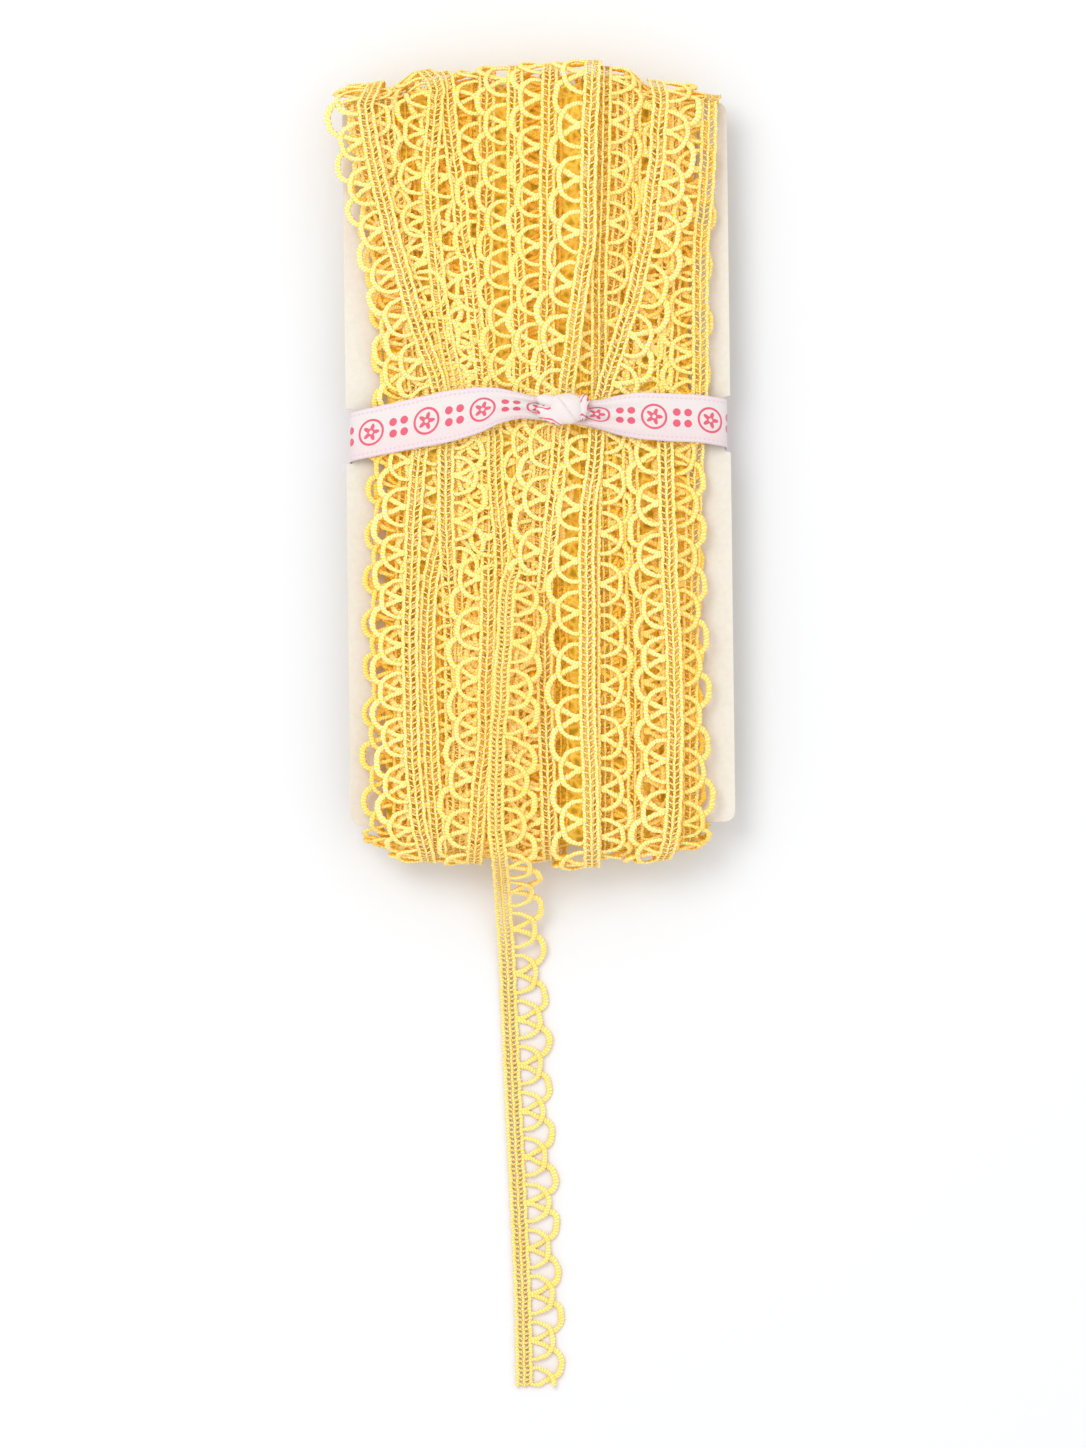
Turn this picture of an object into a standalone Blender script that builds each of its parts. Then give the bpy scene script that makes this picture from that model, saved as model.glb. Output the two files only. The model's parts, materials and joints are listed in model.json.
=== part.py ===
"""Crochet lace trim wound lengthwise on a flat card, tied with a satin ribbon, one end loose.

Frame: +X to the card's right, +Y along the card, +Z away from the surface that it lies on.
The origin is at the bottom centre of the whole thing. Run with Blender 4.5.
"""
import math

import bmesh
import bpy
from mathutils import Matrix, Vector
from mathutils.geometry import convex_hull_2d

MM = 0.001
GAP = 0.3 * MM                      # air between neighbouring pieces

# Card: a flat board with round corners and a shallow notch each side for the ribbon.
CARD_WIDTH = 77.0 * MM
CARD_LENGTH = 144.0 * MM
CARD_THICKNESS = 1.5 * MM
CARD_CORNER = 2.0 * MM
CARD_CENTRE = (1.9 * MM, 53.4 * MM)
CARD_TURN = math.radians(0.7)
MID_HEIGHT = 9.5 * MM               # the card's mid-plane above the surface
NOTCH_DEPTH = 1.2 * MM
NOTCH_HALF = 5.4 * MM
NOTCH_RAMP = 0.3 * MM
NOTCH_LEFT_Y = 6.0 * MM             # along the card, from its centre
NOTCH_RIGHT_Y = 7.6 * MM

# Wound trim: one belt round the card's two short ends, wound from rows of lace.
REPEAT = 9.2 * MM                   # one scallop of the lace
STATIONS_PER_REPEAT = 3
END_STEPS = 6                       # facets round each short end
INNER_OFFSET = CARD_THICKNESS / 2 + GAP
INNER_CENTRE = CARD_LENGTH / 2 - 0.15 * MM
HEADER_HALF = 1.7 * MM              # half of a row's straight heading
ROW_DEPTH = 0.85 * MM               # a heading stands this much above the lace beside it
EDGE_THICKNESS = 1.5 * MM           # the winding at its left and right sides
FRONT_CROWN = 7.6 * MM
BACK_CROWN = 8.3 * MM
END_CROWN = 6.9 * MM                # the winding past the card's short ends
CROWN_POWER = 3.0
WAIST_POWER = 2.0
WAIST_Y = 9.0 * MM                  # where the ribbon pulls the winding in
WAIST_REACH = 15.0 * MM
WAIST_PINCH = 0.38
SCALLOP_LEFT = 2.2 * MM
SCALLOP_RIGHT = 1.0 * MM
SETTLE_LENGTH = 30.0 * MM           # the rows even out over this length on the back

# Front rows in the card's frame, mm: place along the card, the winding's left side, the
# middles of its nine headings from left to right, and its right side.
SECTION_COLUMNS = ("along", "left", "a", "b", "c", "d", "e", "f", "g", "h", "i", "right")
FRONT_SECTIONS = (
    (-72, -36.9, -25.3, -21.3, -13.3, -9.3, 0.1, 9.5, 18.1, 25.3, 31.5, 34.2),
    (-47, -36.6, -26.4, -22.4, -12.6, -8.0, 0.4, 8.8, 18.4, 26.2, 32.2, 34.8),
    (-17, -35.8, -25.6, -21.0, -10.4, -5.4, 1.2, 9.2, 17.8, 25.6, 31.8, 34.4),
    (10, -33.5, -24.1, -19.7, -11.5, -3.7, 3.1, 10.7, 17.7, 24.9, 32.1, 34.6),
    (45, -37.1, -32.9, -28.6, -19.9, -4.1, 2.4, 10.4, 19.4, 23.8, 32.8, 35.4),
    (64, -42.5, -36.6, -32.6, -19.9, -4.2, 2.6, 10.8, 19.8, 24.4, 34.0, 36.4),
    (72, -41.6, -37.1, -33.1, -19.9, -4.3, 2.9, 11.1, 20.1, 24.9, 34.4, 36.8),
)
BACK_SECTION = (0, -35.5, -30.4, -22.8, -15.2, -7.6, 0.0, 7.6, 15.2, 22.8, 30.4, 34.8)

# Ribbon: taut round the waist, 10 mm wide, drawn narrow beside its knot.
RIBBON_THICKNESS = 0.8 * MM
RIBBON_GAP = 0.4 * MM
RIBBON_STEP = 6.0 * MM
RIBBON_COLUMNS = ("x", "y", "width")
RIBBON_FRONT = (
    (-36, 59.0, 10.0), (-26, 60.8, 10.0), (-16, 62.8, 10.0), (-6, 65.0, 7.4), (2, 65.0, 6.2),
    (12, 63.4, 6.2), (19, 62.9, 9.0), (26, 62.6, 9.8), (34, 62.2, 9.8), (40, 61.6, 9.8),
)
RIBBON_BACK = ((-36, 59.0, 10.0), (40, 61.6, 9.8))
KNOT_AT = (7.2 * MM, 64.4 * MM)
KNOT_SIZE = (4.9 * MM, 3.4 * MM, 3.2 * MM)      # half length, half breadth, height
KNOT_TURN = math.radians(-32)
KNOT_FOLDS = 5
KNOT_FOLD_DEPTH = 0.10

# Loose end: one row of the lace, from the winding's front over its end to the surface.
LACE_THICKNESS = 1.2 * MM
HEADING_WIDTH = 2 * HEADER_HALF
PATH_STEP = 0.5 * MM
BEND_STEP = REPEAT / 4              # facets of the row where it comes down
WELD_STEP = 0.12 * MM               # points nearer than this are one
# Side view of the loose row's middle line, mm: place along Y, height.
LOOSE_PATH = (
    (-4.0, 20.0), (-11.0, 20.1), (-18.0, 20.0), (-22.5, 19.2), (-26.2, 17.0), (-28.8, 13.6),
    (-30.6, 10.0), (-33.2, 6.6), (-37.4, 3.6), (-43.0, 1.5), (-50.0, 0.6), (-58.0, 0.6),
    (-80.0, 0.6), (-110.0, 0.6), (-133.8, 0.6),
)
# Left edge of the loose row's heading, mm: place along Y, X.
LOOSE_DRIFT = (
    (-4.0, -8.6), (-12.4, -8.3), (-24.6, -7.8), (-33.8, -7.0), (-43.8, -5.8), (-53.8, -5.2),
    (-73.8, -4.4), (-93.8, -3.6), (-113.8, -2.8), (-133.8, -2.4),
)
# Lace pattern over one repeat, mm: distance along from the big loop's middle, and out
# from the heading's edge. The big loop and the window in it are mirrored about its middle.
BIG_LOOP_HALF = ((0.0, 6.55), (1.4, 6.3), (2.6, 5.6), (3.3, 4.75))
SMALL_LOOP_TIP = (4.6, 4.95)
BIG_WINDOW_HALF = ((0.0, 5.55), (1.2, 5.4), (2.0, 4.5), (1.25, 3.2), (0.0, 0.5))
SIDE_WINDOW = ((1.05, 0.3), (1.5, 1.55), (2.65, 3.3), (3.5, 2.4), (3.9, 0.3))

CREAM = (0.93, 0.85, 0.72, 1.0)
YELLOW = (0.88, 0.62, 0.14, 1.0)
PALE_YELLOW = (0.92, 0.72, 0.26, 1.0)
PALE_PINK = (0.93, 0.80, 0.84, 1.0)


def clear_scene():
    """Remove every object of the open scene."""
    for item in list(bpy.data.objects):
        bpy.data.objects.remove(item, do_unlink=True)


def make_material(name, colour, roughness):
    """Return a Principled material without metal."""
    material = bpy.data.materials.new(name)
    material.use_nodes = True
    shader = material.node_tree.nodes["Principled BSDF"]
    shader.inputs["Base Color"].default_value = colour
    shader.inputs["Roughness"].default_value = roughness
    shader.inputs["Metallic"].default_value = 0.0
    return material


def adopt(obj, name, collection, material):
    """Name an object, give it its material and put it in the part's collection."""
    obj.name = name
    obj.data.name = name
    obj.data.materials.clear()
    obj.data.materials.append(material)
    for other in list(obj.users_collection):
        other.objects.unlink(obj)
    collection.objects.link(obj)
    return obj


def read_table(rows, columns, at):
    """Blend a table's rows at one value of its first column, in mm, into a dictionary."""
    rows = sorted(rows)
    at = min(max(at, rows[0][0]), rows[-1][0])
    for low, high in zip(rows, rows[1:]):
        if at <= high[0]:
            break
    share = (at - low[0]) / (high[0] - low[0])
    share = share * share * (3 - 2 * share)
    return {name: a + (b - a) * share for name, a, b in zip(columns, low, high)}


def point_outwards(mesh):
    """Turn every face of a closed mesh outwards."""
    bm = bmesh.new()
    bm.from_mesh(mesh)
    bmesh.ops.recalc_face_normals(bm, faces=bm.faces)
    bm.to_mesh(mesh)
    bm.free()


def flat_piece(outlines, thickness):
    """Return a mesh object of closed flat outlines, holes included, with a thickness."""
    curve = bpy.data.curves.new("outline", "CURVE")
    curve.dimensions = "2D"
    curve.fill_mode = "BOTH"
    curve.extrude = thickness / 2
    for outline in outlines:
        spline = curve.splines.new("POLY")
        spline.points.add(len(outline) - 1)
        for point, (x, y) in zip(spline.points, outline):
            point.co = (x, y, 0.0, 1.0)
        spline.use_cyclic_u = True
    drawn = bpy.data.objects.new("outline", curve)
    bpy.context.scene.collection.objects.link(drawn)
    shown = drawn.evaluated_get(bpy.context.evaluated_depsgraph_get())
    mesh = bpy.data.meshes.new_from_object(shown)
    bm = bmesh.new()
    bm.from_mesh(mesh)
    bmesh.ops.remove_doubles(bm, verts=bm.verts, dist=0.00001)
    bmesh.ops.recalc_face_normals(bm, faces=bm.faces)
    bm.to_mesh(mesh)
    bm.free()
    piece = bpy.data.objects.new("flat", mesh)
    piece.matrix_world = drawn.matrix_world
    bpy.context.scene.collection.objects.link(piece)
    bpy.data.objects.remove(drawn, do_unlink=True)
    return piece


def card_matrix():
    """Place of the card and the winding: turned a little, at the card's mid-plane."""
    x, y = CARD_CENTRE
    return Matrix.Translation((x, y, MID_HEIGHT)) @ Matrix.Rotation(CARD_TURN, 4, "Z")


def corner_arc(x, y, start_degrees):
    """Points of a quarter round corner whose arc starts at an angle."""
    angles = [math.radians(start_degrees + step * 30) for step in range(4)]
    return [(x + CARD_CORNER * math.cos(a), y + CARD_CORNER * math.sin(a)) for a in angles]


def notch(side, middle):
    """Points of one notch, upwards on the right side (1) and downwards on the left (-1)."""
    edge = side * CARD_WIDTH / 2
    floor = side * (CARD_WIDTH / 2 - NOTCH_DEPTH)
    return [
        (edge, middle - side * (NOTCH_HALF + NOTCH_RAMP)),
        (floor, middle - side * NOTCH_HALF),
        (floor, middle + side * NOTCH_HALF),
        (edge, middle + side * (NOTCH_HALF + NOTCH_RAMP)),
    ]


def make_card(collection, material):
    """The flat card with its round corners and two ribbon notches."""
    half_w = CARD_WIDTH / 2 - CARD_CORNER
    half_l = CARD_LENGTH / 2 - CARD_CORNER
    outline = notch(1, NOTCH_RIGHT_Y) + corner_arc(half_w, half_l, 0) + corner_arc(-half_w, half_l, 90)
    outline += notch(-1, NOTCH_LEFT_Y) + corner_arc(-half_w, -half_l, 180) + corner_arc(half_w, -half_l, 270)
    card = flat_piece([outline], CARD_THICKNESS)
    card.matrix_world = card_matrix()
    return adopt(card, "card", collection, material)


def belt_stations():
    """Places round the card as (along, angle): the angle is 90 on the front, -90 on the back."""
    spacing = REPEAT / STATIONS_PER_REPEAT
    count = round(2 * INNER_CENTRE / spacing)
    runs = [-INNER_CENTRE + 2 * INNER_CENTRE * step / count for step in range(count + 1)]
    turns = [90 - 180 * step / END_STEPS for step in range(1, END_STEPS)]
    front = [(along, 90) for along in runs]
    top = [(INNER_CENTRE, angle) for angle in turns]
    back = [(along, -90) for along in reversed(runs)]
    bottom = [(-INNER_CENTRE, angle) for angle in reversed(turns)]
    return front + top + back + bottom


def section_at(along, angle):
    """Sides and headings of the winding at one station, in metres."""
    front = read_table(FRONT_SECTIONS, SECTION_COLUMNS, along / MM)
    back = dict(zip(SECTION_COLUMNS, BACK_SECTION))
    if angle == 90:
        share = 0.0
    elif angle == -90:
        to_end = INNER_CENTRE - abs(along)
        share = min(1.0, 0.4 + 0.6 * to_end / SETTLE_LENGTH)
    else:
        share = 0.4 * (90 - angle) / 180
    return {name: (front[name] * (1 - share) + back[name] * share) * MM for name in SECTION_COLUMNS}


def waist(along):
    """How much the ribbon pulls the winding in, 1 at the ribbon and 0 far from it."""
    return math.exp(-(((along - WAIST_Y) / WAIST_REACH) ** 4))


def outer_point(x, section, station, raised):
    """Place of a point on the winding's outer face, in the card's frame."""
    along, angle = station
    middle = (section["left"] + section["right"]) / 2
    half = (section["right"] - section["left"]) / 2
    sideways = min(1.0, abs(x - middle) / half)
    pull = waist(along) if abs(angle) == 90 else 0.0
    power = CROWN_POWER + (WAIST_POWER - CROWN_POWER) * pull
    crown = FRONT_CROWN if angle >= 0 else BACK_CROWN
    rise = 1 - sideways ** power
    face = EDGE_THICKNESS + (crown * (1 - WAIST_PINCH * pull) - EDGE_THICKNESS) * rise
    end = EDGE_THICKNESS + (END_CROWN - EDGE_THICKNESS) * rise
    ridge = ROW_DEPTH * (1 - 0.8 * pull) if raised else 0.0
    turn = math.radians(angle)
    past = math.copysign(math.cos(turn), along) if abs(angle) != 90 else 0.0
    y = along + past * (INNER_OFFSET + end + ridge)
    z = math.sin(turn) * (INNER_OFFSET + face + ridge)
    return Vector((x, y, max(z, -MID_HEIGHT)))


def inner_point(x, station):
    """Place of a point on the winding's inner face, which lies close round the card."""
    along, angle = station
    turn = math.radians(angle)
    past = math.copysign(math.cos(turn), along) if abs(angle) != 90 else 0.0
    return Vector((x, along + past * INNER_OFFSET, math.sin(turn) * INNER_OFFSET))


def belt_section(number, station):
    """Ring of points round the winding's section: outer face left to right, then back inside."""
    section = section_at(*station)
    tucked = 1.0 if number % STATIONS_PER_REPEAT == 0 else 0.0
    section["left"] += SCALLOP_LEFT * tucked
    section["right"] -= SCALLOP_RIGHT * tucked
    headings = [section[name] for name in SECTION_COLUMNS[2:-1]]
    ring = [outer_point(section["left"], section, station, False)]
    previous = section["left"]
    for heading in headings:
        valley = (previous + heading - HEADER_HALF) / 2
        ring.append(outer_point(valley, section, station, False))
        ring.append(outer_point(heading - HEADER_HALF, section, station, True))
        ring.append(outer_point(heading + HEADER_HALF, section, station, True))
        previous = heading + HEADER_HALF
    ring.append(outer_point(section["right"], section, station, False))
    for share in (1.0, 0.5, 0.0):
        x = section["left"] + (section["right"] - section["left"]) * share
        ring.append(inner_point(x, station))
    return ring


def make_wound_trim(collection, material):
    """The winding: a torus whose rings become the sections of a belt round the card."""
    stations = belt_stations()
    rings = [belt_section(number, station) for number, station in enumerate(stations)]
    bpy.ops.mesh.primitive_torus_add(
        major_segments=len(rings), minor_segments=len(rings[0]), major_radius=0.05, minor_radius=0.01
    )
    belt = bpy.context.object
    places = [point for ring in rings for point in ring]
    for vertex, place in zip(belt.data.vertices, places):
        vertex.co = place
    point_outwards(belt.data)
    belt.matrix_world = card_matrix()
    belt.data.shade_smooth()
    belt.data.set_sharp_from_angle(angle=math.radians(40))
    return adopt(belt, "wound_trim", collection, material)


def ribbon_row(x, z):
    """Middle and width of the ribbon, in mm, at a place across the front or the back."""
    rows = RIBBON_FRONT if z > MID_HEIGHT else RIBBON_BACK
    return read_table(rows, RIBBON_COLUMNS, x / MM)


def taut_ring(belt):
    """Outline in X and Z of a cord drawn tight round the winding and the card at the waist."""
    facet = REPEAT / STATIONS_PER_REPEAT
    points = []
    for vertex in belt.data.vertices:
        place = belt.matrix_world @ vertex.co
        row = ribbon_row(place.x, place.z)
        if abs(place.y - row["y"] * MM) < row["width"] * MM / 2 + facet:
            points.append(Vector((place.x, place.z)))
    edge = CARD_WIDTH / 2 - NOTCH_DEPTH
    for side, middle in ((1, NOTCH_RIGHT_Y), (-1, NOTCH_LEFT_Y)):
        for end in (-1, 1):
            for face in (-1, 1):
                corner = Vector((side * edge, middle + end * NOTCH_HALF, face * CARD_THICKNESS / 2))
                place = card_matrix() @ corner
                points.append(Vector((place.x, place.z)))
    hull = [points[index] for index in convex_hull_2d(points)]
    kept = []
    for point in hull:
        if not kept or (point - kept[-1]).length > 0.4 * MM:
            kept.append(point)
    ring = []
    for start, stop in zip(kept, kept[1:] + kept[:1]):
        steps = max(1, math.ceil((stop - start).length / RIBBON_STEP))
        ring += [start.lerp(stop, step / steps) for step in range(steps)]
    return ring


def push_out(ring, distance):
    """Move each point of a closed convex outline outwards by a distance."""
    moved = []
    centre = sum(ring, Vector((0.0, 0.0))) / len(ring)
    for before, point, after in zip(ring[-1:] + ring[:-1], ring, ring[1:] + ring[:1]):
        normals = []
        for start, stop in ((before, point), (point, after)):
            along = (stop - start).normalized()
            normal = Vector((along.y, -along.x))
            if normal.dot(point - centre) < 0:
                normal.negate()
            normals.append(normal)
        both = normals[0] + normals[1]
        moved.append(point + both * (distance / (1 + normals[0].dot(normals[1]))))
    return moved


def make_ribbon_tie(collection, material, ring):
    """The ribbon: an open tube bent to the taut ring, then given its thickness."""
    ring = push_out(ring, RIBBON_GAP)
    bpy.ops.mesh.primitive_cylinder_add(vertices=len(ring), end_fill_type="NOTHING")
    band = bpy.context.object
    for vertex in band.data.vertices:
        turn = math.atan2(vertex.co.x, vertex.co.y) % (2 * math.pi)
        x, z = ring[round(turn / (2 * math.pi) * len(ring)) % len(ring)]
        row = ribbon_row(x, z)
        side = math.copysign(0.5, vertex.co.z)
        vertex.co = (x, (row["y"] + side * row["width"]) * MM, z)
    centre = Vector((0.0, 0.0, MID_HEIGHT))
    face = band.data.polygons[0]
    inward = face.normal.dot(face.center - centre) < 0
    wall = band.modifiers.new("thickness", "SOLIDIFY")
    wall.thickness = RIBBON_THICKNESS
    wall.offset = -1.0 if inward else 1.0
    wall.use_even_offset = True
    return adopt(band, "ribbon_tie", collection, material)


def make_ribbon_knot(collection, material, ring):
    """The knot: a flattened, folded lump that sits on the ribbon."""
    outer = push_out(ring, RIBBON_GAP + RIBBON_THICKNESS)
    near = [z for x, z in outer if abs(x - KNOT_AT[0]) < KNOT_SIZE[0] + RIBBON_STEP]
    seat = max(near) + GAP
    bpy.ops.mesh.primitive_uv_sphere_add(segments=20, ring_count=10, radius=1.0)
    knot = bpy.context.object
    for vertex in knot.data.vertices:
        x, y, z = vertex.co
        fold = 1 + KNOT_FOLD_DEPTH * math.cos(KNOT_FOLDS * (y + 0.35 * x) * math.pi)
        z = max(z, -0.35)
        vertex.co = (x * KNOT_SIZE[0], y * KNOT_SIZE[1], (z + 0.35) / 1.35 * KNOT_SIZE[2] * fold)
    knot.matrix_world = Matrix.Translation((*KNOT_AT, seat)) @ Matrix.Rotation(KNOT_TURN, 4, "Z")
    knot.data.shade_smooth()
    return adopt(knot, "ribbon_knot", collection, material)


def smooth_path(rows):
    """Even steps along a smooth curve through a side view's points, as (y, z) in metres."""
    points = [Vector((y, z)) * MM for y, z in rows]
    ends = [2 * points[0] - points[1]] + points + [2 * points[-1] - points[-2]]
    fine = []
    for a, b, c, d in zip(ends, ends[1:], ends[2:], ends[3:]):
        for step in range(20):
            t = step / 20
            fine.append(
                0.5 * (2 * b + (c - a) * t + (2 * a - 5 * b + 4 * c - d) * t * t
                       + (3 * b - a - 3 * c + d) * t ** 3)
            )
    fine.append(points[-1])
    path = [fine[0]]
    for point in fine:
        point.y = max(point.y, LACE_THICKNESS / 2)
        while (point - path[-1]).length >= PATH_STEP:
            path.append(path[-1] + (point - path[-1]).normalized() * PATH_STEP)
    return path


def lace_outlines(length):
    """Outline and windows of a row of lace laid flat: along first, then out from the heading."""
    middle = REPEAT / 2
    count = int((length - middle) / REPEAT) + 1
    tail = length - 1.2 * MM
    scallops = []
    windows = []
    for number in range(count):
        centre = middle + number * REPEAT
        loop = [(-du, v) for du, v in reversed(BIG_LOOP_HALF[1:])] + list(BIG_LOOP_HALF) + [SMALL_LOOP_TIP]
        scallops += [(centre + du * MM, HEADING_WIDTH + v * MM) for du, v in loop]
        big = list(BIG_WINDOW_HALF) + [(-du, v) for du, v in reversed(BIG_WINDOW_HALF[1:-1])]
        for shape in (big, SIDE_WINDOW, [(-du, v) for du, v in SIDE_WINDOW]):
            window = [(centre + du * MM, HEADING_WIDTH + v * MM) for du, v in shape]
            if max(u for u, _ in window) < tail - 0.6 * MM:
                windows.append(window)
    scallops = [(u, v) for u, v in scallops if u < tail]
    steps = int((length - WELD_STEP) / BEND_STEP)
    heading = [(length, 0.0)] + [(BEND_STEP * step, 0.0) for step in range(steps, -1, -1)]
    foot = [(0.0, HEADING_WIDTH + 4.6 * MM)]
    cut = [(tail, HEADING_WIDTH + 3.4 * MM), (tail, HEADING_WIDTH), (length, HEADING_WIDTH)]
    return [foot + scallops + cut + heading] + windows


def drift_at(y):
    """Left edge of the loose row's heading at a place along Y."""
    return read_table(LOOSE_DRIFT, ("y", "x"), y / MM)["x"] * MM


def crease_lines(mesh, length):
    """Cut a flat piece across at even steps, so that it can bend there."""
    bm = bmesh.new()
    bm.from_mesh(mesh)
    for number in range(1, int(length / BEND_STEP)):
        bmesh.ops.bisect_plane(
            bm, geom=bm.verts[:] + bm.edges[:] + bm.faces[:], dist=0.00001,
            plane_co=(number * BEND_STEP, 0.0, 0.0), plane_no=(1.0, 0.0, 0.0)
        )
    bmesh.ops.remove_doubles(bm, verts=bm.verts, dist=WELD_STEP)
    bmesh.ops.dissolve_degenerate(bm, edges=bm.edges, dist=WELD_STEP)
    bmesh.ops.triangulate(bm, faces=bm.faces, quad_method="BEAUTY", ngon_method="BEAUTY")
    bm.to_mesh(mesh)
    bm.free()


def make_loose_end(collection, material):
    """The loose row: a flat lace outline bent along its side view."""
    path = smooth_path(LOOSE_PATH)
    length = (len(path) - 1) * PATH_STEP
    lace = flat_piece(lace_outlines(length), LACE_THICKNESS)
    crease_lines(lace.data, length)
    for vertex in lace.data.vertices:
        along, out, lift = vertex.co
        index = min(int(along / PATH_STEP), len(path) - 2)
        tangent = (path[index + 1] - path[index]).normalized()
        place = path[index] + tangent * (along - index * PATH_STEP)
        wide = tangent
        if 0 < index:
            wide = (path[index + 1] - path[index - 1]).normalized()
        normal = Vector((wide.y, -wide.x))
        place = place + normal * lift
        vertex.co = (drift_at(place.x) + out, place.x, place.y)
    point_outwards(lace.data)
    return adopt(lace, "loose_end", collection, material)


def stand_at_origin(collection):
    """Move the pieces so that the origin is at the bottom centre of them all."""
    bpy.context.view_layer.update()
    depsgraph = bpy.context.evaluated_depsgraph_get()
    places = []
    for piece in collection.objects:
        shown = piece.evaluated_get(depsgraph)
        places += [piece.matrix_world @ vertex.co for vertex in shown.data.vertices]
    lowest = [min(place[axis] for place in places) for axis in range(3)]
    highest = [max(place[axis] for place in places) for axis in range(3)]
    shift = Vector(((lowest[0] + highest[0]) / 2, (lowest[1] + highest[1]) / 2, lowest[2]))
    for piece in collection.objects:
        piece.location -= shift


def main():
    """Build the five pieces."""
    clear_scene()
    collection = bpy.data.collections.new("lace_trim_on_card")
    bpy.context.scene.collection.children.link(collection)
    make_card(collection, make_material("card_board", CREAM, 0.75))
    belt = make_wound_trim(collection, make_material("wound_lace", YELLOW, 0.85))
    ribbon = make_material("satin_ribbon", PALE_PINK, 0.35)
    ring = taut_ring(belt)
    make_ribbon_tie(collection, ribbon, ring)
    make_ribbon_knot(collection, make_material("satin_knot", PALE_PINK, 0.35), ring)
    make_loose_end(collection, make_material("loose_lace", PALE_YELLOW, 0.85))
    stand_at_origin(collection)


main()
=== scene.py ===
import json
import math
import bmesh
import bpy
import numpy as np
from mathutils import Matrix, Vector
from mathutils.bvhtree import BVHTree

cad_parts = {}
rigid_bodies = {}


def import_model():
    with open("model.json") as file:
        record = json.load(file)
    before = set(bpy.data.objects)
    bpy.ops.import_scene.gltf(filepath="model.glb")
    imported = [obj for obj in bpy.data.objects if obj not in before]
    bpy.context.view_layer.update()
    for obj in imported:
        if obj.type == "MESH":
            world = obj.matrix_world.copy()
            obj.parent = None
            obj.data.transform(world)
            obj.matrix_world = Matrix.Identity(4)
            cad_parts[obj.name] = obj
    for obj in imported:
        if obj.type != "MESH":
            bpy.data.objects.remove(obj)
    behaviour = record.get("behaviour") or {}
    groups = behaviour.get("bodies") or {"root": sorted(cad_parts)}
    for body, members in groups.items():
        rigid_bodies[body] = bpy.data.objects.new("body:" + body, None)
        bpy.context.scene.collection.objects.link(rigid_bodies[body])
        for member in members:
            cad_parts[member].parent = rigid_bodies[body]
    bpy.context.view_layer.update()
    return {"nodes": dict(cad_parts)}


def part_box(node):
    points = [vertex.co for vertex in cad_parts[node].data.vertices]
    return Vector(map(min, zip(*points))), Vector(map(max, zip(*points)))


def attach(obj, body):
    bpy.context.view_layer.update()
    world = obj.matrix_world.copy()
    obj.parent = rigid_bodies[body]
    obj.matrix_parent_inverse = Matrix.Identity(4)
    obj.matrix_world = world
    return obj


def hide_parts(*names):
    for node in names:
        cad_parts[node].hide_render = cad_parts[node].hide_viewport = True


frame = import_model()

mm = 0.001

# The photo's frame: five of its pixels are one millimetre of the object.
photo = {
    "width": 1086,
    "height": 1448,
    "pixelsPerMm": 5.0,
    "originPixel": (529.1, 730.1),   # where the frame's origin lies
}


# place on the surface, in metres, of a pixel of the photo
def fromPhoto(px, py):
    scale = mm / photo["pixelsPerMm"]
    return (px - photo["originPixel"][0]) * scale, (photo["originPixel"][1] - py) * scale


def deselectAll():
    if bpy.context.object and bpy.context.object.mode != "OBJECT":
        bpy.ops.object.mode_set(mode="OBJECT")
    bpy.ops.object.select_all(action="DESELECT")


def activate(obj):
    deselectAll()
    obj.select_set(True)
    bpy.context.view_layer.objects.active = obj


def applyModifiers(obj):
    activate(obj)
    for modifier in list(obj.modifiers):
        bpy.ops.object.modifier_apply(modifier=modifier.name)


def readPoints(obj):
    points = np.empty(len(obj.data.vertices) * 3)
    obj.data.vertices.foreach_get("co", points)
    return points.reshape(-1, 3)


def writePoints(obj, points):
    obj.data.vertices.foreach_set("co", np.ascontiguousarray(points).ravel())
    obj.data.update()


# camera and light

camera = {"lens": 180.0, "sensor": 36.0, "sharpHeight": 12 * mm}


def makeCamera():
    across, along = fromPhoto(photo["width"] / 2, photo["height"] / 2)
    seen = photo["height"] / photo["pixelsPerMm"] * mm
    away = seen / camera["sensor"] * camera["lens"]
    bpy.ops.object.camera_add(location=(across, along, camera["sharpHeight"] + away), rotation=(0, 0, 0))
    made = bpy.context.object
    made.name = "photoCamera"
    made.data.sensor_fit = "VERTICAL"
    made.data.sensor_height = camera["sensor"]
    made.data.lens = camera["lens"]
    bpy.context.scene.camera = made


lights = {
    "key": {"place": (-0.38, 0.46, 1.02), "size": 0.6, "watts": 5.1, "colour": (1.0, 0.99, 0.97)},
    "fill": {"place": (0.7, -0.35, 1.0), "size": 1.2, "watts": 0.8, "colour": (0.97, 0.98, 1.0)},
}
surroundings = {"strength": 1.045, "floorColour": (0.742, 0.75, 0.768, 1.0)}


def makeLights():
    for name, facts in lights.items():
        bpy.ops.object.light_add(type="AREA", location=facts["place"])
        lamp = bpy.context.object
        lamp.name = name + "Light"
        lamp.data.shape = "DISK"
        lamp.data.size = facts["size"]
        lamp.data.energy = facts["watts"]
        lamp.data.color = facts["colour"]
        aim = Vector((0.0, 0.02, 0.0)) - Vector(facts["place"])
        lamp.rotation_euler = aim.to_track_quat("-Z", "Y").to_euler()
    world = bpy.data.worlds.new("studio")
    world.use_nodes = True
    world.node_tree.nodes["Background"].inputs["Color"].default_value = (1.0, 1.0, 1.0, 1.0)
    world.node_tree.nodes["Background"].inputs["Strength"].default_value = surroundings["strength"]
    bpy.context.scene.world = world
    bpy.context.scene.view_settings.view_transform = "Standard"


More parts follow.
